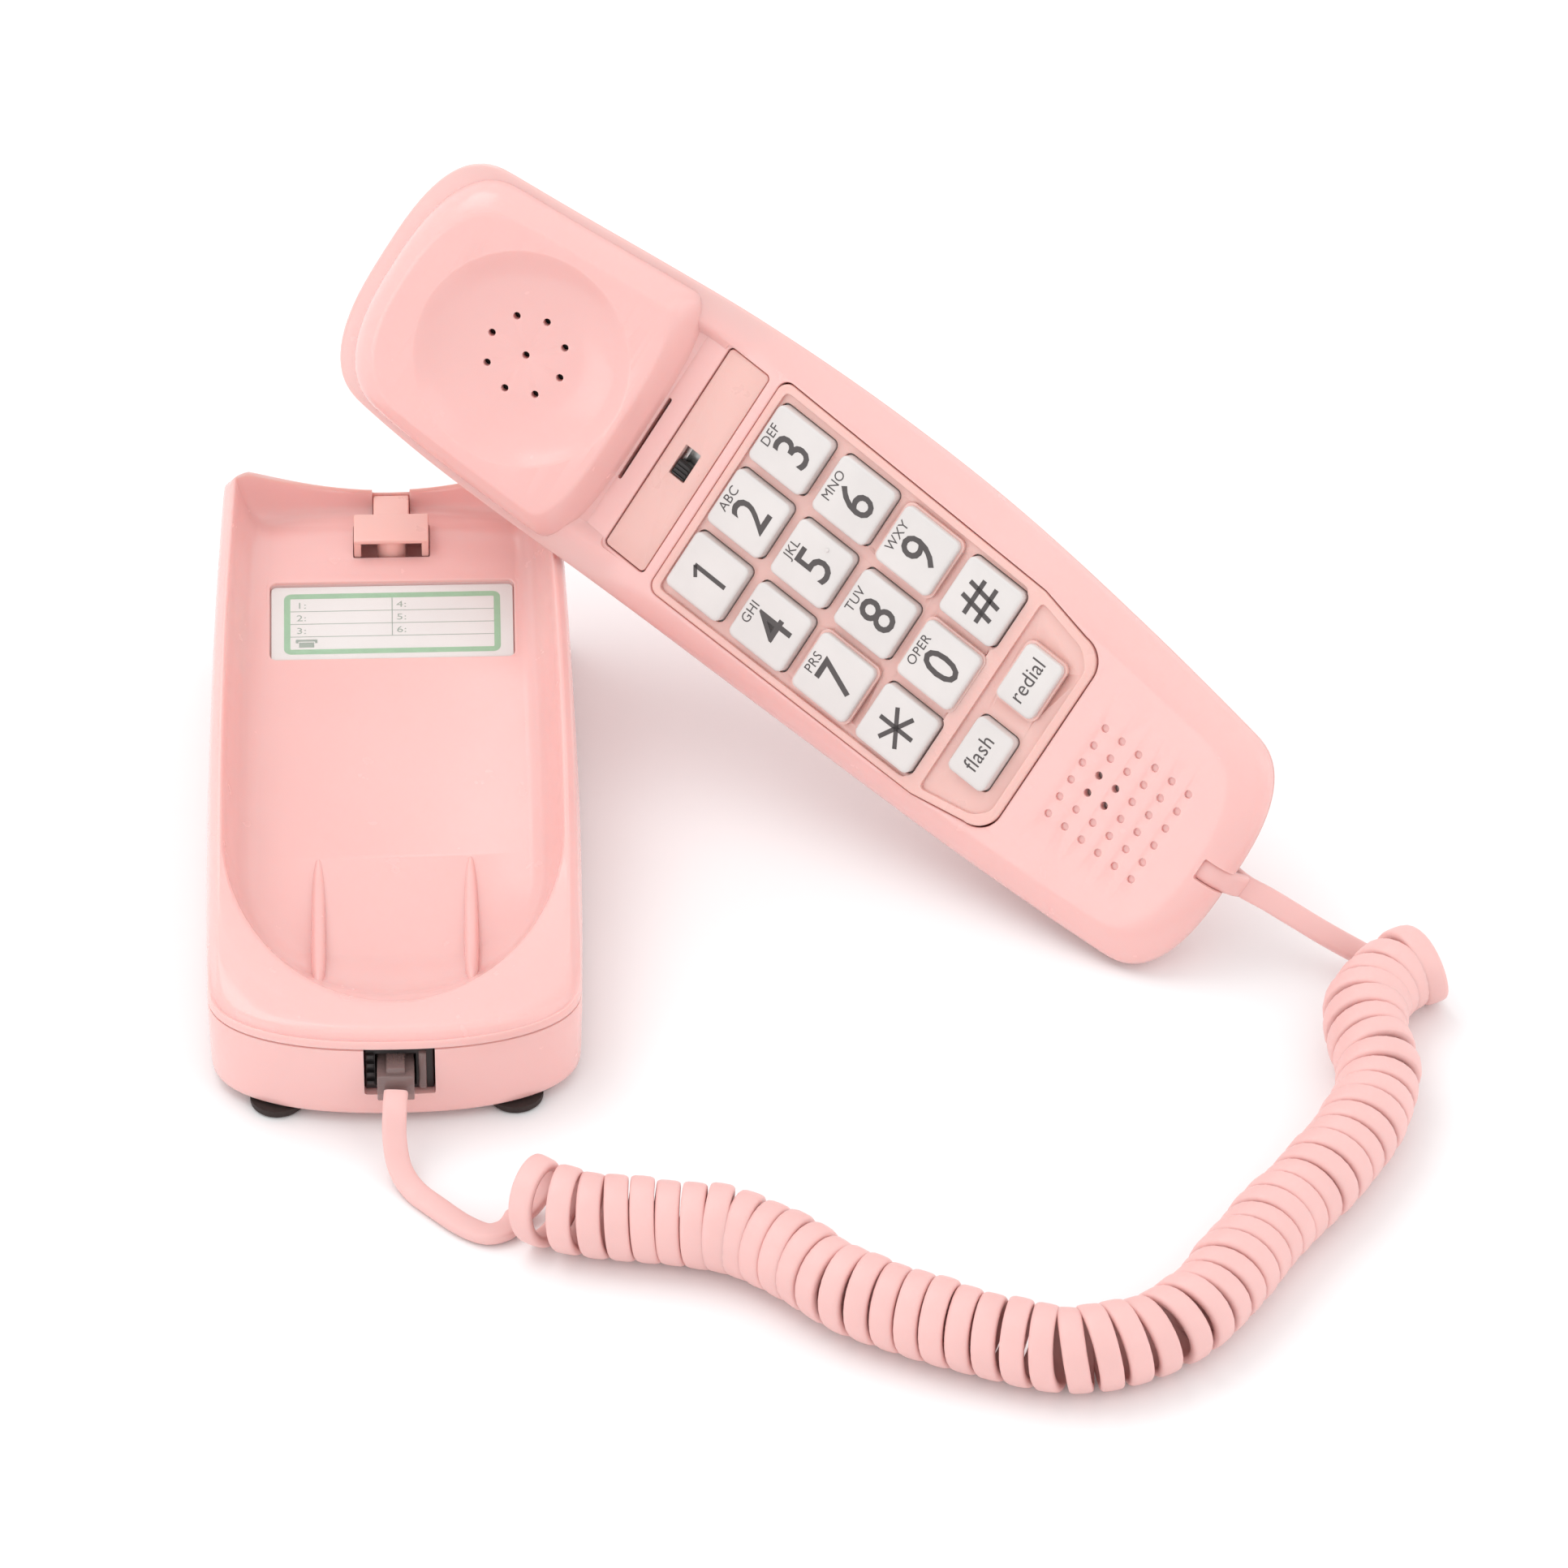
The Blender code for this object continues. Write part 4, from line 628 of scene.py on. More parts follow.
def base_upper_shell():
    low_wall = outer_ring(0.02 * MM, lambda x, y: SEAM_Z + 0.3 * (rim_z(x, y) - SEAM_Z) * 0.4)
    wall = outer_ring(0.3 * MM, lambda x, y: (SEAM_Z + rim_z(x, y)) / 2)
    shoulder = outer_ring(0.9 * MM, lambda x, y: rim_z(x, y) - 2.2 * MM)
    edge = outer_ring(2.0 * MM, lambda x, y: rim_z(x, y) - 0.6 * MM)
    inner_edge = inner_ring(11.8 * MM, 46 * MM, 3.6 * MM, BACK_WALL_Y, lambda x, y: rim_z(x, y) - 0.8 * MM)
    crown = [with_height(blend_rings(edge, inner_edge, share), rim_z) for share in (0.35, 0.75)]
    inside = [inner_ring(13 * MM, 45 * MM, 3.9 * MM, 162.4 * MM, between(0.85)),
              inner_ring(19 * MM, 40 * MM, 5.0 * MM, 162.2 * MM, between(0.5)),
              inner_ring(27 * MM, 32 * MM, 7.5 * MM, 161.6 * MM, between(0.12)),
              inner_ring(36 * MM, 24 * MM, 11 * MM, 159.5 * MM, between(0), 3 * MM)]
    under = [inner_ring(36 * MM, 24 * MM, 11 * MM, 159.5 * MM, below_floor(WALL), 3 * MM),
             inner_ring(26 * MM, 32 * MM, 8 * MM, 160.5 * MM, below_floor(1.6 * MM)),
             inner_ring(17.2 * MM, 40 * MM, 4.6 * MM, 161.4 * MM, below_floor(0.6 * MM, 16.4 * MM)),
             inner_ring(13.4 * MM, 44 * MM, 2.7 * MM, 162.3 * MM, below_floor(2 * MM, 20.2 * MM))]
    outside = refined([low_wall, wall, shoulder, edge] + crown + [inner_edge] + inside, 3)
    seam = [outer_ring(WALL, SEAM_Z), outer_ring(0.35 * MM, SEAM_Z), outer_ring(0.08 * MM, SEAM_Z + 0.1 * MM),
            outer_ring(0, SEAM_Z + 0.4 * MM)]
    shell = loft("base_upper", under + seam + outside, PINK, BASE)
    outline = rounded_rectangle((CARD_HALF[0] + GAP, CARD_HALF[1] + GAP), 1.5 * MM)
    combine(shell, flared_cutter("card_recess", outline, CARD_DEPTH / MM, BASE @ card_frame(), width=0.8))
    cut_hook_well(shell)
    for side in (-1, 1):
        combine(shell, cradle_rib(side), "UNION")
    return put(shell, "base", "pink_plastic", "base_upper_shell")


def cut_hook_well(shell):
    """A walled well for the hook's plate, a trench for its tongue and a hole for its peg."""
    reach = HOOK_HALF_WIDTH + 0.2 * MM
    front, back = PLATE_Y
    walls = soft_box("well_walls", (-reach - 2 * MM, front - 2 * MM, WELL_FLOOR_Z - 1.6 * MM),
                     (reach + 2 * MM, back + 2.0 * MM, LEDGE_Z - 2 * MM), PINK, BASE, 0)
    combine(shell, walls, "UNION")
    combine(shell, soft_box("hook_well", (-reach, front - 0.3 * MM, WELL_FLOOR_Z),
                            (reach, back + 0.3 * MM, WELL_TOP_Z), None, BASE, 0.4 * MM))
    combine(shell, soft_box("tongue_well", (-4.0 * MM, back - 2 * MM, 31.2 * MM),
                            (4.0 * MM, 163.4 * MM, WELL_TOP_Z), None, BASE, 0.1 * MM))
    at_peg = BASE @ Matrix.Translation((0, PEG_Y, 0))
    combine(shell, prism("peg_hole", round_outline(3.4 * MM), [(0, 20), (0, 32)], None, at_peg))


def cradle_rib(side):
    """A low rounded ridge that carries the handset; it dies away towards the back."""
    x = side * 15.9 * MM

    def top(drop):
        return lambda x, y: floor_z(y) + 0.2 * MM - drop + 4.2 * MM * (66 * MM - y) / (40 * MM)
    steps = [(1.7, 20.1, 9.0), (1.45, 19.9, 1.6), (1.3, 19.7, 0.8), (1.05, 19.4, 0.35), (0.7, 19.0, 0.1),
             (0.3, 18.5, 0.0)]
    rings = [superellipse((x, 46 * MM), (half * MM, reach * MM), 3, 40,
                          top(drop * MM) if drop < 5 else lambda x, y: floor_z(y) - 1.2 * MM)
             for half, reach, drop in steps]
    return loft("rib", rings, PINK, BASE, ladder=True)


def card_frame():
    tilt = Matrix.Rotation(math.atan(FLOOR_SLOPE), 4, "X")
    return Matrix.Translation((0, CARD_Y, floor_z(CARD_Y))) @ tilt


def base_lower_shell():
    top, floor = SEAM_Z - GAP, FOOT_HEIGHT + WALL
    steps = [(9, FOOT_HEIGHT), (2.0, FOOT_HEIGHT), (1.2, FOOT_HEIGHT + 0.12 * MM),
             (0.75, FOOT_HEIGHT + 0.4 * MM), (0.5, FOOT_HEIGHT + 0.9 * MM), (0.38, 4.6 * MM), (0.3, 7 * MM),
             (0.1, 13 * MM), (0.0, top - 0.35 * MM), (0.08, top - 0.08 * MM), (0.35, top), (WALL / MM, top),
             (2.8, 7.5 * MM), (4.2, floor), (9, floor)]
    rings = [outer_ring(inset * MM, z) for inset, z in steps]
    shell = loft("base_lower", rings, PINK, BASE)
    turn = Matrix.Rotation(math.radians(90), 4, "X")
    above = 30 * MM
    half, middle = (above - JACK_Z[0]) / 2, (above + JACK_Z[0]) / 2
    front = rounded_rectangle((JACK_HALF, half), 0.5 * MM, (JACK_X, middle), 4)
    combine(shell, flared_cutter("front_opening", front, 8.0, BASE @ turn, width=0.5))
    rear = soft_box("rear_opening", (LINE_JACK_X - 8 * MM, 158 * MM, 7.7 * MM),
                    (LINE_JACK_X + 8 * MM, 175 * MM, 30 * MM), None, BASE, 0.4 * MM)
    combine(shell, rear)
    for i in range(5):
        y = (43.9 + 6 * i) * MM
        outline = rounded_rectangle((9 * MM, 0.9 * MM), 0.85 * MM, (0, y), 4)
        combine(shell, prism("slot", outline, [(0, 0), (0, 8)], None, BASE))
    for x, y in ((-22, 46), (22, 46), (-28, 128), (28, 128)):
        place = BASE @ Matrix.Translation((x * MM, y * MM, 0))
        combine(shell, prism("seat", round_outline(3.1 * MM), [(0, 0), (0, 3.5)], None, place))
        combine(shell, prism("bore", round_outline(1.6 * MM), [(0, 0), (0, 8)], None, place))
    return put(shell, "base", "pink_plastic", "base_lower_shell")


def feet():
    profile = [(0, 1.9), (5.7, 1.9), (5.7, 0.9), (5.6, 0.45), (5.3, 0.12), (4.9, 0), (4.2, 0.0), (0, 0)]
    for i, (x, y) in enumerate(FEET, 1):
        place = BASE @ Matrix.Translation((x * MM, y * MM, 0))
        foot = lathe("foot_pad_%d" % i, [(r * MM, z * MM) for r, z in profile], RUBBER, place)
        put(foot, "base", "foot_rubber", "foot_%d" % i)


def hook():
    """The hook's plate with its tongue, the skirt over its opening, and its peg down to the switch."""
    front, back = PLATE_Y
    plate = soft_box("hook_plate", (-HOOK_HALF_WIDTH, front, HOOK_TOP_Z - 1.1 * MM),
                     (HOOK_HALF_WIDTH, back, HOOK_TOP_Z), HOOK_PINK, BASE, 0.35 * MM, 4)
    tongue = soft_box("hook_tongue", (-3.8 * MM, back - 3 * MM, HOOK_TOP_Z - 2.0 * MM),
                      (3.8 * MM, 163.1 * MM, HOOK_TOP_Z - 0.2 * MM), HOOK_PINK, BASE, 0.4 * MM, 4)
    skirts = []
    for side in (-1, 1):
        edge = -side * (HOOK_HALF_WIDTH - 0.05 * MM)
        across = sorted((edge, edge + 1.5 * side * MM))
        skirts.append(soft_box("hook_side", (across[0], front + 0.05 * MM, HOOK_TOP_Z - 4.6 * MM),
                               (across[1], back - 0.3 * MM, HOOK_TOP_Z - 0.5 * MM), HOOK_PINK, BASE,
                               0.3 * MM))
    profile = [(0, 25.2), (2.4, 25.2), (2.4, 27.4), (3.9, 27.4), (3.9, 28.3), (3.05, 28.3), (3.05, 37.4),
               (0, 37.4)]
    peg = lathe("hook_peg", [(r * MM, z * MM) for r, z in profile], HOOK_PINK,
                BASE @ Matrix.Translation((0, PEG_Y, 0)))
    for extra in [tongue] + skirts + [peg]:
        combine(plate, extra, "UNION")
    put(plate, "hook", "pink_plastic", "hook_plunger")
    return_spring()


def return_spring():
    """The spring under the peg's collar."""
    low, high, turns, radius, wire = 21.0 * MM, 27.0 * MM, 2.5, 3.1 * MM, 0.35 * MM
    at = BASE_AT + Vector((0, PEG_Y, 0))
    bm = bmesh.new()
    rings = []
    count = round(turns * 24)
    for i in range(count + 1):
        a = 2 * math.pi * turns * i / count
        out = Vector((math.cos(a), math.sin(a), 0))
        centre = at + out * radius + Vector((0, 0, low + (high - low) * i / count))
        rings.append([centre + out * wire * math.cos(b) + Vector((0, 0, wire * math.sin(b)))
                      for b in [2 * math.pi * k / 8 for k in range(8)]])
    skin(bm, rings, ladder=False)
    spring = mesh_object("return_spring", bm, STEEL, Matrix.Identity(4))
    put(spring, "base", "steel", "hook_spring")
    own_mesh(spring)


# ---- directory card ------------

def card():
    place = BASE @ card_frame()
    top = -CARD_DEPTH + 0.42 * MM
    outline = rounded_rectangle(CARD_HALF, 1.2 * MM)
    sheet = [(-0.05, -1.5), (0, -1.45), (0, -1.25), (-0.05, -1.18)]
    paper = prism("card_paper", outline, sheet, PAPER, place)
    put(paper, "base", "card_paper", "directory_card")
    at = Matrix.Translation((0, 0, top))
    row, inner = 3.53 * MM, (21.65 * MM, 7.06 * MM)
    band = 1.35 * MM
    pieces = [ring_strip("border", (inner[0] + band, inner[1] + band), 1.6 * MM, band, INK_GREEN, place @ at)]
    for k in range(3):
        y = inner[1] - (k + 1) * row
        pieces.append(flat_bar("line", (-inner[0], y - 0.08 * MM), (inner[0], y + 0.08 * MM), INK_DULL,
                               place @ at))
        for x, number in ((-19.3 * MM, 1 + k), (2.0 * MM, 4 + k)):
            spot = Matrix.Translation((x, y + 0.45 * row, top))
            pieces.append(lettering("entry", "%d:" % number, 2.4 * MM, place @ spot, INK_DULL, width=1.25))
    pieces.append(flat_bar("divider", (-0.1 * MM, inner[1] - 3 * row), (0.1 * MM, inner[1]), INK_DULL,
                           place @ at))
    pieces += phone_icon(place @ at)
    put(merge("card_print", pieces), "base", "card_paper")
    cover = [(-0.3, -0.92), (0, -0.85), (0, -0.35), (-0.1, -0.24), (-0.3, -0.2)]
    put(prism("card_cover", outline, cover, CLEAR, place), "base", "window_clear", "card_window")


def flat_bar(name, low, high, mat, place):
    return soft_box(name, (low[0], low[1], 0), (high[0], high[1], 0.03 * MM), mat, place, 0)


def ring_strip(name, half, radius, width, mat, place):
    """A thin printed frame."""
    outer = rounded_rectangle(half, radius, steps=6)
    inner = rounded_rectangle((half[0] - width, half[1] - width), radius - width, steps=6)
    bm = bmesh.new()
    count = len(outer)
    rings = [[(x, y, z) for x, y in outline] for outline, z in
             ((outer, 0), (outer, 0.03 * MM), (inner, 0.03 * MM), (inner, 0))]
    verts = [[bm.verts.new(p) for p in ring] for ring in rings]
    for low, high in zip(verts, verts[1:] + verts[:1]):
        for i in range(count):
            j = (i + 1) % count
            bm.faces.new((low[i], low[j], high[j], high[i]))
    return mesh_object(name, bm, mat, place)


def phone_icon(place):
    """A small pictogram of a telephone, at the foot of the card."""
    at = place @ Matrix.Translation((-18.2 * MM, -5.4 * MM, 0))
    return [flat_bar("icon_body", (-1.6 * MM, -1.1 * MM), (1.6 * MM, 0.3 * MM), INK_DULL, at),
            flat_bar("icon_grip", (-2.3 * MM, 0.55 * MM), (2.3 * MM, 1.1 * MM), INK_DULL, at),
            flat_bar("icon_cup", (-2.3 * MM, 0.1 * MM), (-1.75 * MM, 0.8 * MM), INK_DULL, at),
            flat_bar("icon_cup", (1.75 * MM, 0.1 * MM), (2.3 * MM, 0.8 * MM), INK_DULL, at)]


# ---- jacks and plugs ------------

def plug_body(name, tip, tail, low, place):
    """A clear modular plug along y, with its latch on top and contact blades at its tip."""
    ends = sorted((tip, tail))
    body = soft_box(name, (-PLUG_HALF, ends[0], low), (PLUG_HALF, ends[1], low + 6.2 * MM), SMOKY, place,
                    0.35 * MM, 3)
    inward = 1 if tip > tail else -1
    along = sorted((tail + inward * 1.0 * MM, tip - inward * 1.5 * MM))
    latch = soft_box("latch", (-1.9 * MM, along[0], low + 5.8 * MM), (1.9 * MM, along[1], low + 7.6 * MM),
                     SMOKY, place, 0.3 * MM, 3)
    combine(body, latch, "UNION")
    blades = []
    for k in range(4):
        x = (-1.5 + k) * 1.02 * MM
        span = sorted((tip - inward * 0.2 * MM, tip - inward * 2.6 * MM))
        blades.append(soft_box("blade", (x - 0.15 * MM, span[0], low - 0.02 * MM),
                               (x + 0.15 * MM, span[1], low + 0.7 * MM), BRASSY, place, 0))
    return body, merge(name + "_blades", blades)


def base_jack():
    block = soft_box("jack_block", (JACK_X - JACK_HALF + GAP, 2.0 * MM, JACK_Z[0] + GAP),
                     (JACK_X + JACK_HALF - GAP, 13 * MM, 19.4 * MM), BLACK, BASE, 0.25 * MM, 3)
    socket = soft_box("jack_socket", (-PLUG_HALF - 0.4 * MM, 0, 9.2 * MM),
                      (PLUG_HALF + 0.4 * MM, 11.5 * MM, 17.6 * MM), None, BASE, 0.2 * MM)
    combine(block, socket)
    for k in range(4):
        z = (10.0 + 2.3 * k) * MM
        left = JACK_X - JACK_HALF + 0.5 * MM
        rib = soft_box("rib", (left, 1.1 * MM, z), (-PLUG_HALF - 0.55 * MM, 2.6 * MM, z + 0.9 * MM),
                       BLACK, BASE, 0.2 * MM)
        combine(block, rib, "UNION")
    put(block, "base", "black_plastic", "base_handset_jack")
    fin = soft_box("jack_fin", (PLUG_HALF + 0.9 * MM, 0.7 * MM, 9.0 * MM),
                   (PLUG_HALF + 2.5 * MM, 2.3 * MM, 18.4 * MM), SMOKY, BASE, 0.4 * MM)
    put(fin, "base", "smoky_clear")
    plug, blades = plug_body("base_cord_plug", 10.8 * MM, -3.6 * MM, 9.6 * MM, BASE)
    put(plug, "base", "smoky_clear", "base_plug")
    put(blades, "base", "steel")
    return plug, blades


def cord_sleeve():
    """The cord's own jacket where it is led up into the notch at the handset's end."""
    line = [(-96.0, -2.2), (-98.0, -2.4), (-100.4, -3.4), (-102.6, -5.4), (-104.0, -7.8), (-104.6, -10.0)]
    points = [HANDSET @ (Vector((0, y, z)) * MM) for y, z in line]
    path = [ring[0] for ring in refined([[p] for p in points], 5)]
    up = HANDSET.to_3x3() @ Vector((0, 0, 1))
    sleeve = flat_tube("cord_sleeve", path, lead_normals(path, up, HANDSET.to_3x3() @ Vector((0, -1, 0))))
    put(sleeve, "handset", "cord_pink")


def handset_jack():
    plug, blades = plug_body("handset_cord_plug", -90.3 * MM, -101.0 * MM, -12.9 * MM, HANDSET)
    put(plug, "handset", "smoky_clear", "handset_plug")
    put(blades, "handset", "steel")
    return plug, blades


# ---- handset surfaces ------------

def handset_half_width(y):
    return HALF_WIDTH - WIDTH_TAPER * (y - 15 * MM) ** 2


def smooth_table(table, y):
    t = min(max(y / MM, table[0][0]), table[-1][0])
    i = next(k for k in range(len(table) - 1) if t <= table[k + 1][0])
    (x0, z0), (x1, z1) = table[i], table[i + 1]
    before = table[max(i - 1, 0)]
    after = table[min(i + 2, len(table) - 1)]
    slope0 = (z1 - before[1]) / (x1 - before[0])
    slope1 = (after[1] - z0) / (after[0] - x0)
    span = x1 - x0
    u = (t - x0) / span
    return MM * ((1 + 2 * u) * (1 - u) ** 2 * z0 + u * (1 - u) ** 2 * span * slope0
                 + u * u * (3 - 2 * u) * z1 + u * u * (u - 1) * span * slope1)


def widest_z(y):
    return smooth_table(WIDEST, y)


def back_z(y):
    return smooth_table(BACK, y)


def face_z(y):
    """The face beside the raised earpiece: the low shoulder that it stands on."""
    return max(0.0, widest_z(y) + 1.0 * MM)


def face_middle(x, y):
    """The face inside its shoulder: flat as far as the raised earpiece."""
    if y < FLAT_END:
        return 0.0
    share = min(1.0, (y - FLAT_END) / (3.0 * MM))
    return share * face_z(y)


def plateau_z(x, y):
    return PLATEAU_Z + PLATEAU_SLOPE * (y - PLATEAU_Y[0])


def handset_ring(inset, height, lean=0.0):
    def half_width(y):
        return handset_half_width(y) - inset - lean * BACK_LEAN * (widest_z(y) - back_z(y))
    return long_outline((MOUTH_Y + inset + 4 * MM * lean, 14 * MM, 2.7),
                        (EAR_Y - inset - 12 * MM * lean, 15 * MM, 2.8), half_width, 48, height)


def back_share(share, raise_by=0.0):
    return lambda x, y: widest_z(y) - GAP + share * (back_z(y) - widest_z(y)) + raise_by


def front_share(share, drop=0.0):
    return lambda x, y: widest_z(y) - drop + share * (face_z(y) - widest_z(y))


def inside_share(share):
    return lambda x, y: widest_z(y) - 4 * MM + share * (face_z(y) - SHELL - widest_z(y) + 4 * MM)


def inside_middle(x, y):
    return face_middle(x, y) - SHELL


def ear_ring(rise, inset, share, drop=0.0):
    """An outline of the raised earpiece; rise is how far its mouth side lies before the flat top."""
    def height(x, y):
        return widest_z(y) - drop + share * (plateau_z(x, y) - widest_z(y))
    far = PLATEAU_Y[1] + (PLATEAU_INSET - inset) * 1.4
    return long_outline((PLATEAU_Y[0] - rise, 7 * MM, 3), (far, 15 * MM, 2.6),
                        lambda y: handset_half_width(y) - inset, 20, height)


def ear_foot(x, y):
    """Where the raised earpiece starts: inside the face in front, and at the parting line beside it."""
    return -0.8 * MM if y < 60 * MM else widest_z(y) + 0.4 * MM


def ear_block():
    steps = [(2.5, 1.75, 0.16), (2.1, 2.2, 0.36), (1.65, 3.0, 0.58), (1.2, 4.1, 0.77), (0.85, 5.1, 0.885),
             (0.6, 5.75, 0.95), (0.35, 6.15, 0.984), (0.0, 6.6, 1.0), (-0.5, 7.2, 1.0)]
    rings = [ear_ring(rise * MM, inset * MM, share) for rise, inset, share in steps]
    foot = with_height(ear_ring(2.8 * MM, 1.6 * MM, 0), ear_foot)
    return loft("ear_block", [foot] + refined(rings, 3), PINK, HANDSET)


def plateau_frame():
    tilt = Matrix.Rotation(math.atan(PLATEAU_SLOPE), 4, "X")
    return HANDSET @ Matrix.Translation((0, DISH_Y, plateau_z(0, DISH_Y))) @ tilt


def dish():
    profile = [(0, -4.6), (9.5, -4.6), (12.2, -4.45), (14.5, -4.12), (16.8, -3.55), (18.6, -2.92),
               (20.2, -2.1), (21.4, -1.3), (22.3, -0.68), (22.9, -0.3), (23.2, -0.11), (23.5, 0.0),
               (24.0, 0.03), (24.4, 3.0), (0, 3.0)]
    return lathe("dish", [(r * MM, z * MM) for r, z in profile], None, plateau_frame(), 96)


def pins(name, places, radius, depth, surface, place, sides=16):
    """One cutter of several round pins with rounded mouths."""
    bm = bmesh.new()
    profile = [(0, surface - depth), (0, surface - 0.16), (0.04, surface - 0.07), (0.14, surface - 0.01),
               (0.3, surface + 0.03), (0.3, surface + 1.0)]
    for centre in places:
        skin(bm, layers(round_outline(radius, centre, sides), profile), ladder=False)
    return mesh_object(name, bm, None, place)


def bezel_outline(grow=0.0):
    top, waist, end = (h + grow for h in BEZEL_HALF)
    corners = [(end, BEZEL_END - grow, 6.0), (waist, BEZEL_WAIST, 0.0), (top, BEZEL_TOP + grow, 2.5)]
    right = []
    for index, (x, y, radius) in enumerate(corners):
        if radius == 0:
            right.append((x, y))
            continue
        radius *= MM
        cy = y + radius if index == 0 else y - radius
        start = -90 if index == 0 else 0
        for k in range(10):
            a = math.radians(start + 10 * k)
            right.append((x - radius + radius * math.cos(a), cy + radius * math.sin(a)))
    return right + [(-x, y) for x, y in reversed(right)]


def handset_front_shell():
    under = [handset_ring(8.0 * MM, front_share(0, 5.0 * MM)), handset_ring(4.6 * MM, front_share(0))]
    steps = [(0, 0), (0.05, 0.08), (0.3, 0.27), (1.1, 0.5), (2.6, 0.72), (4.6, 0.9), (6.9, 1.0)]
    outer = [handset_ring(inset * MM, front_share(share)) for inset, share in steps]
    outer.append(handset_ring(9.4 * MM, face_middle))
    shell = loft("handset_front", under + refined(outer, 3), PINK, HANDSET)
    combine(shell, ear_block(), "UNION")
    cavity = [handset_ring(3.0 * MM, front_share(0, 8.0 * MM)), handset_ring(SHELL, inside_share(0)),
              handset_ring(2.6 * MM, inside_share(0.5)), handset_ring(4.0 * MM, inside_share(0.85)),
              handset_ring(7.4 * MM, inside_share(1.0)), handset_ring(10.4 * MM, inside_middle)]
    combine(shell, loft("front_cavity", cavity, PINK, HANDSET))
    room = [ear_ring(-1.2 * MM, 6.0 * MM, 0.0, 3.4 * MM), ear_ring(-1.4 * MM, 6.4 * MM, 0.3, 1 * MM),
            with_height(ear_ring(-3.6 * MM, 9.6 * MM, 0), lambda x, y: plateau_z(x, y) - 7.2 * MM)]
    combine(shell, loft("ear_cavity", room, PINK, HANDSET))
    cut_face(shell)
    return put(shell, "handset", "pink_plastic", "handset_front_shell")


def cut_face(shell):
    combine(shell, flared_cutter("bezel_opening", bezel_outline(GAP), 10, HANDSET, width=0.7))
    panel = rounded_rectangle((PANEL_HALF[0] + GAP, PANEL_HALF[1] + GAP), 1.2 * MM, (0, PANEL_Y), 5)
    combine(shell, flared_cutter("panel_opening", panel, 10, HANDSET, width=0.6))
    hang = rounded_rectangle((10.5 * MM, 0.45 * MM), 0.4 * MM, (HANG_SLOT_X, HANG_SLOT_Y), 3)
    combine(shell, prism("hang_slot", hang, [(0, -6), (0, 1.4)], None, HANDSET))
    through = [(i * MIC_PITCH[0], MIC_Y + j * MIC_PITCH[1]) for i in (-0.5, 0.5) for j in (0.5, 1.5)]
    grid = [(i * MIC_PITCH[0], MIC_Y + j * MIC_PITCH[1]) for i in (-2.5, -1.5, -0.5, 0.5, 1.5, 2.5)
            for j in (-2.5, -1.5, -0.5, 0.5, 1.5, 2.5)]
    dimples = [p for p in grid if min((Vector(p) - Vector(q)).length for q in through) > MM]
    combine(shell, pins("mic_holes", through, 0.85 * MM, 9, 0.0, HANDSET))
    combine(shell, pins("mic_dimples", dimples, 0.85 * MM, 0.7, 0.0, HANDSET))
    combine(shell, dish())
    ring = [(RING_RADIUS * math.cos(math.radians(45 * k)), RING_RADIUS * math.sin(math.radians(45 * k)))
            for k in range(8)]
    floor = plateau_frame() @ Matrix.Translation((0, 0, -4.6 * MM))
    combine(shell, pins("ear_holes", [(0, 0)] + ring, EAR_HOLE, 5, 0.0, floor, 12))
    for low, high in (((-4.4, -112, -13.5), (4.4, -97.1, -6.2)), ((-2.5, -112, -10), (2.5, -97.1, 3.0))):
        notch = soft_box("notch", [v * MM for v in low], [v * MM for v in high], None, HANDSET, 0.5 * MM, 3)
        combine(shell, notch)


def handset_back_shell():
    inner = [handset_ring(inset * MM, back_share(share, SHELL), lean)
             for inset, share, lean in ((17, 1.0, 1.0), (9.5, 0.97, 0.95), (6.0, 0.84, 0.85))]
    inner += [handset_ring(3.5 * MM, back_share(0.6), 0.6), handset_ring(SHELL, back_share(0.3), 0.3),
              handset_ring(SHELL, back_share(0)), handset_ring(0.4 * MM, back_share(0))]
    outer = [handset_ring(inset * MM, back_share(share), lean)
             for inset, share, lean in ((0, 0.02, 0.0), (0, 0.3, 0.3), (1.1, 0.6, 0.6), (3.4, 0.84, 0.85),
                                        (8.0, 0.97, 0.95), (17, 1.0, 1.0))]
    shell = loft("handset_back", inner + refined(outer, 4), PINK, HANDSET)
    for x, y in HANDSET_SCREWS:
        at = HANDSET @ Matrix.Translation((x, y, back_z(y)))
        combine(shell, prism("seat", round_outline(3.1 * MM), [(0, -4), (0, 1.1)], None, at))
        combine(shell, prism("bore", round_outline(1.5 * MM), [(0, -4), (0, 6)], None, at))
    for low, high in (((-4.4, -112, -13.5), (4.4, -97.1, -6.2)), ((-2.5, -112, -10), (2.5, -97.1, -1.0)),
                      ((-6.5, -100.1, -14.6), (6.5, -88.3, -4))):
        notch = soft_box("notch", [v * MM for v in low], [v * MM for v in high], None, HANDSET, 0.3 * MM, 2)
        combine(shell, notch)
    return put(shell, "handset", "pink_plastic", "handset_back_shell")


# ---- keypad ------------

KEYS = [("key_1", "1", ""), ("key_2", "2", "ABC"), ("key_3", "3", "DEF"), ("key_4", "4", "GHI"),
        ("key_5", "5", "JKL"), ("key_6", "6", "MNO"), ("key_7", "7", "PRS"), ("key_8", "8", "TUV"),
        ("key_9", "9", "WXY"), ("key_star", "*", ""), ("key_0", "0", "OPER"), ("key_hash", "#", "")]


def key_place(row, column):
    return ((column - 1) * KEY_PITCH[0], (1.5 - row) * KEY_PITCH[1])


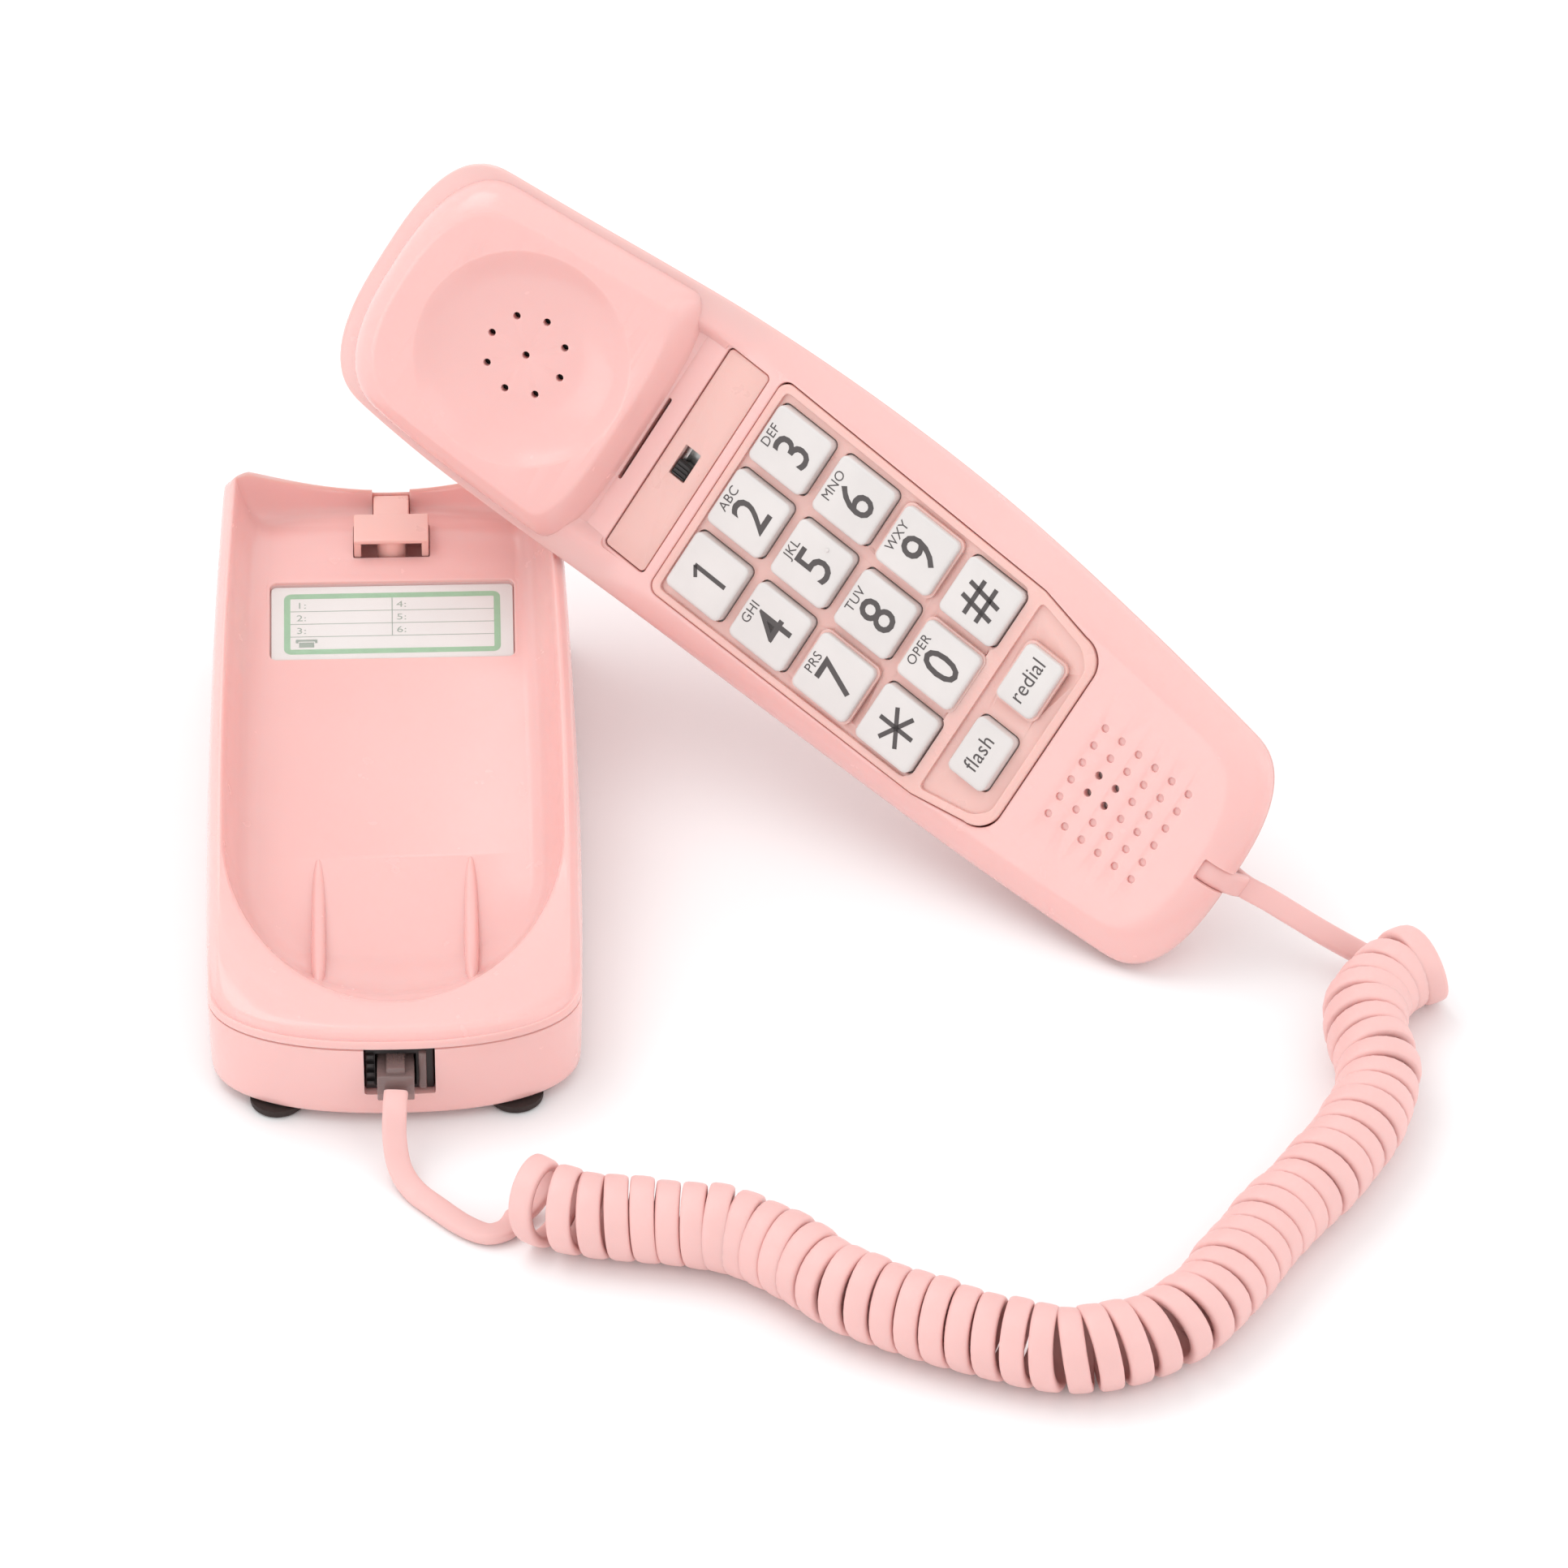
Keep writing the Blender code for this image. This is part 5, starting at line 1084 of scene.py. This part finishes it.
def all_keys():
    result = [(*key, key_place(i // 3, i % 3), KEY_HALF) for i, key in enumerate(KEYS)]
    result.append(("key_flash", "", "flash", (-FUNCTION_X, FUNCTION_Y), FUNCTION_HALF))
    result.append(("key_redial", "", "redial", (FUNCTION_X, FUNCTION_Y), FUNCTION_HALF))
    return result


def bezel():
    profile = [(0, -2.2), (0, 0.22), (-0.08, 0.38), (-0.22, 0.47), (-0.42, 0.5)]
    plate = prism("keypad_surround", bezel_outline(), profile, PINK_SOFT, HANDSET)
    upper = rounded_outline([(-24.8, -33.6), (24.8, -33.6), (25.8, 34.8), (-25.8, 34.8)], 1.6)
    lower = rounded_outline([(-18.6, -53.2), (18.6, -53.2), (21.8, -50.0), (24.4, -37.2), (-24.4, -37.2),
                             (-21.8, -50.0)], 1.6)
    for outline in (upper, lower):
        combine(plate, flared_cutter("field", outline, 1.0, HANDSET, surface=0.5, width=0.3))
    for _, _, _, place, half in all_keys():
        outline = rounded_rectangle((half[0] + GAP, half[1] + GAP), 1.6 * MM, place, 6)
        combine(plate, flared_cutter("key_opening", outline, 6.0, HANDSET, surface=-0.5, width=0.3))
    put(plate, "handset", "pink_plastic", "keypad_bezel")


def rounded_outline(points, radius, steps=5):
    """A polygon in millimetres with its corners rounded, in metres."""
    result, count = [], len(points)
    for i, point in enumerate(points):
        before, here, after = Vector(points[i - 1]), Vector(point), Vector(points[(i + 1) % count])
        to_before, to_after = (before - here).normalized(), (after - here).normalized()
        start, end = here + to_before * radius, here + to_after * radius
        for k in range(steps + 1):
            t = k / steps
            result.append(tuple(((1 - t) ** 2 * start + 2 * t * (1 - t) * here + t * t * end) * MM))
    return result


KEY_EDGE = [(0, -0.7), (-0.04, -0.46), (-0.14, -0.27), (-0.3, -0.13), (-0.5, -0.06), (-0.8, -0.02), (-1.2, 0)]


def keys():
    rise = KEY_TOP / MM
    for name, digit, letters, (x, y), half in all_keys():
        place = HANDSET @ Matrix.Translation((x, y, 0))
        profile = [(0.75, -3.6), (0.75, -2.6), (0, -2.6)] + [(d, rise + z) for d, z in KEY_EDGE]
        outline = rounded_rectangle(half, 1.5 * MM, steps=7)
        cap = prism(name + "_cap", outline, profile, KEY_GREY, place)
        put(cap, name, "key_grey", name)
        pieces = key_print(name, digit, letters, place @ Matrix.Translation((0, 0, KEY_TOP + 0.01 * MM)))
        put(merge(name + "_print", pieces), name, "key_grey")


def key_print(name, digit, letters, place):
    def at(x, y, turn=0):
        return place @ Matrix.Translation((x * MM, y * MM, 0)) @ Matrix.Rotation(math.radians(turn), 4, "Z")

    def bar(length, width, x=0.0, y=0.0, turn=0):
        half = (length / 2 * MM, width / 2 * MM)
        return flat_bar(name + "_bar", (-half[0], -half[1]), half, INK, at(x, y, turn))
    if not digit:
        return [lettering(name + "_word", letters, 5.0 * MM, at(0, 0.2), INK, width=0.88)]
    if digit == "*":
        return [bar(8.8, 1.0, turn=turn) for turn in (90, 30, -30)]
    if digit == "#":
        return ([bar(8.4, 1.05, 0.0, y) for y in (-1.6, 1.6)]
                + [bar(8.6, 1.05, x, 0.0, 82) for x in (-1.6, 1.6)])
    if digit == "1":
        return [bar(8.4, 1.0, 0.5, -0.6, 90), bar(2.6, 0.85, -0.55, 2.75, 35)]
    pieces = [lettering(name + "_digit", digit, 12.6 * MM, at(0.2, -1.2), INK, width=0.9, bold=0.06 * MM)]
    if letters:
        pieces.append(lettering(name + "_letters", letters, 3.1 * MM, at(0, 5.3), INK, width=0.95))
    if digit == "5":
        pieces.append(lathe("dot", [(0, 0), (0.5 * MM, 0), (0.4 * MM, 0.25 * MM), (0, 0.3 * MM)], KEY_GREY,
                            at(4.6, -1.3), 16))
    return pieces


def volume_control():
    outline = rounded_rectangle(PANEL_HALF, 1.0 * MM, (0, PANEL_Y), 5)
    profile = [(0, -2.0), (0, -0.6), (-0.1, -0.43), (-0.3, -0.35)]
    panel = prism("volume_plate", outline, profile, PINK_SOFT, HANDSET)
    slot = rounded_rectangle(KNOB_SLOT_HALF, 0.25 * MM, (KNOB_SLOT_X, PANEL_Y), 3)
    combine(panel, flared_cutter("knob_slot", slot, 5, HANDSET, surface=-0.35, width=0.4))
    put(panel, "handset", "pink_plastic", "volume_panel")
    left = KNOB_SLOT_X - KNOB_SLOT_HALF[0] + 0.15 * MM
    knob = soft_box("volume_slider", (left, PANEL_Y - 1.75 * MM, -2.8 * MM),
                    (left + 3.5 * MM, PANEL_Y + 1.75 * MM, -0.9 * MM), BLACK, HANDSET, 0.15 * MM)
    stem = soft_box("stem", (left + 0.4 * MM, PANEL_Y - 0.9 * MM, -5.0 * MM),
                    (left + 3.1 * MM, PANEL_Y + 0.9 * MM, -2.0 * MM), BLACK, HANDSET, 0)
    combine(knob, stem, "UNION")
    for k in range(4):
        x = left + (0.35 + 0.93 * k) * MM
        rib = soft_box("rib", (x - 0.2 * MM, PANEL_Y - 1.6 * MM, -1.4 * MM),
                       (x + 0.2 * MM, PANEL_Y + 1.6 * MM, -0.5 * MM), BLACK, HANDSET, 0.1 * MM)
        combine(knob, rib, "UNION")
    put(knob, "volume_knob", "black_plastic", "volume_knob")


# ---- cord ------------

def smooth_route(points, spacing):
    """Points about a spacing apart on a smooth curve through the route's points."""
    knots = [BASE_AT + Vector(p) * MM for p in points]
    knots = [2 * knots[0] - knots[1]] + knots + [2 * knots[-1] - knots[-2]]
    dense = []
    for a, b, c, d in zip(knots, knots[1:], knots[2:], knots[3:]):
        for k in range(24):
            t = k / 24
            dense.append(0.5 * (2 * b + (c - a) * t + (2 * a - 5 * b + 4 * c - d) * t ** 2
                                + (3 * b - a - 3 * c + d) * t ** 3))
    dense.append(knots[-2])
    total = sum((q - p).length for p, q in zip(dense, dense[1:]))
    count = max(2, round(total / spacing))
    result, walked, target = [dense[0]], 0.0, total / count
    for p, q in zip(dense, dense[1:]):
        step = (q - p).length
        while walked + step >= target * len(result) and len(result) < count:
            result.append(p.lerp(q, (target * len(result) - walked) / step))
        walked += step
    return result + [dense[-1]]


def carried(normal, before, after):
    """A normal carried along a bend from one direction to the next, without twist."""
    return before.rotation_difference(after) @ normal


def tangents(points):
    result = []
    for i in range(len(points)):
        result.append((points[min(i + 1, len(points) - 1)] - points[max(i - 1, 0)]).normalized())
    return result


def coil_pitch(share):
    """How far one turn moves on, along the coil: tight, with a few turns pulled open."""
    pitch = TURN_PITCH
    for middle, width, extra in PULLED_OPEN:
        pitch += TURN_PITCH * extra * math.exp(-((share - middle) / width) ** 2)
    return pitch


def coil_turns(axis):
    """The helix about the coil's axis, from one lowest point to another, and the cord's outward normals."""
    directions = tangents(axis)
    total = len(axis) - 1
    spacing = (axis[1] - axis[0]).length
    steps = [spacing / coil_pitch((i + 0.5) / total) for i in range(total)]
    turns = round(sum(steps))
    radius = COIL_RADIUS - CORD_THICKNESS / 2 - 0.1 * MM
    points, normals, turned = [], [], 0.0
    for i in range(total + 1):
        out = Matrix.Rotation(2 * math.pi * turned, 3, directions[i]) @ Vector((0, 0, -1))
        wide = COIL_VARIATION * (math.sin(1.9 * turned) + 0.6 * math.sin(0.83 * turned + 1.0))
        wide *= min(1.0, min(turned, turns - turned) / 2)
        points.append(axis[i] + out * (radius + wide) + Vector((0, 0, wide)))
        normals.append(out)
        if i < total:
            turned += steps[i] * turns / sum(steps)
    return points, normals


def lead_normals(points, start, end):
    """Normals carried along a lead, with what twist is left at its end spread over its length."""
    directions = tangents(points)
    normal, normals = start, []
    for i, direction in enumerate(directions):
        if i:
            normal = carried(normal, directions[i - 1], direction)
        normal = (normal - direction * normal.dot(direction)).normalized()
        normals.append(normal.copy())
    last = directions[-1]
    wanted = (end - last * end.dot(last)).normalized()
    twist = math.atan2(normals[-1].cross(wanted).dot(last), normals[-1].dot(wanted))
    if abs(twist) > math.pi / 2:
        twist -= math.copysign(math.pi, twist)
    return [Matrix.Rotation(twist * i / (len(points) - 1), 3, direction) @ normal
            for i, (direction, normal) in enumerate(zip(directions, normals))]


def curly_cord():
    down = Vector((0, 0, -1))
    first = smooth_route(LEAD_BASE, 1.2 * MM)
    turns, turn_normals = coil_turns(smooth_route(COIL, TURN_PITCH / STEPS_A_TURN))
    last = smooth_route(LEAD_HANDSET, 1.2 * MM)
    out_of_keypad = HANDSET.to_3x3() @ Vector((0, 0, 1))
    path = first[:-1] + turns + last[1:]
    first_normals = lead_normals(first, down, down)
    last_normals = lead_normals(last, down, out_of_keypad)
    normals = first_normals[:-1] + turn_normals + last_normals[1:]
    return flat_tube("curly_cord", path, normals), path


def flat_tube(name, path, normals):
    """A cord of flattened section: its flat faces look along the normals."""
    directions = tangents(path)
    section = superellipse((0, 0), (CORD_WIDTH / 2, CORD_THICKNESS / 2), 3.6, 16, 0.0)
    bm = bmesh.new()
    rings = []
    for point, direction, normal in zip(path, directions, normals):
        normal = (normal - direction * normal.dot(direction)).normalized()
        across = direction.cross(normal)
        rings.append([point + across * u + normal * v for u, v, _ in section])
    skin(bm, rings, ladder=False)
    return mesh_object(name, bm, CORD_PINK, Matrix.Identity(4), 60)


def path_length(path):
    return sum((q - p).length for p, q in zip(path, path[1:]))


# ---- the rest of the CAD, with better materials ------------

def dress_nodes():
    finishes = {"hook_switch": BLACK, "line_jack": BLACK, "ringer": BLACK, "earpiece_receiver": BLACK,
                "handset_jack": BLACK, "base_circuit_board": BOARD, "handset_circuit_board": BOARD,
                "ballast_plate": STEEL, "volume_switch_body": STEEL, "microphone": STEEL,
                "keypad_membrane": MEMBRANE, "handset_screw_1": STEEL, "handset_screw_2": STEEL}
    for i in range(1, 5):
        finishes["base_screw_%d" % i] = STEEL
    for name, mat in finishes.items():
        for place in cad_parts[name].material_slots:
            place.material = mat


def main():
    make_camera()
    make_stage()
    cord, path = curly_cord()
    base_upper_shell()
    base_lower_shell()
    feet()
    hook()
    card()
    base_plug, base_blades = base_jack()
    handset_front_shell()
    handset_back_shell()
    bezel()
    keys()
    volume_control()
    handset_plug, handset_blades = handset_jack()
    cord_sleeve()
    dress_nodes()
    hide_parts("cord_lead_base", "cord_coil", "cord_lead_handset")
    tuple(path[-260])
    tuple(path[-1])
    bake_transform(cord)
    tuple(path[0])
    path_length(path)
    [tuple(p) for p in path]


main()
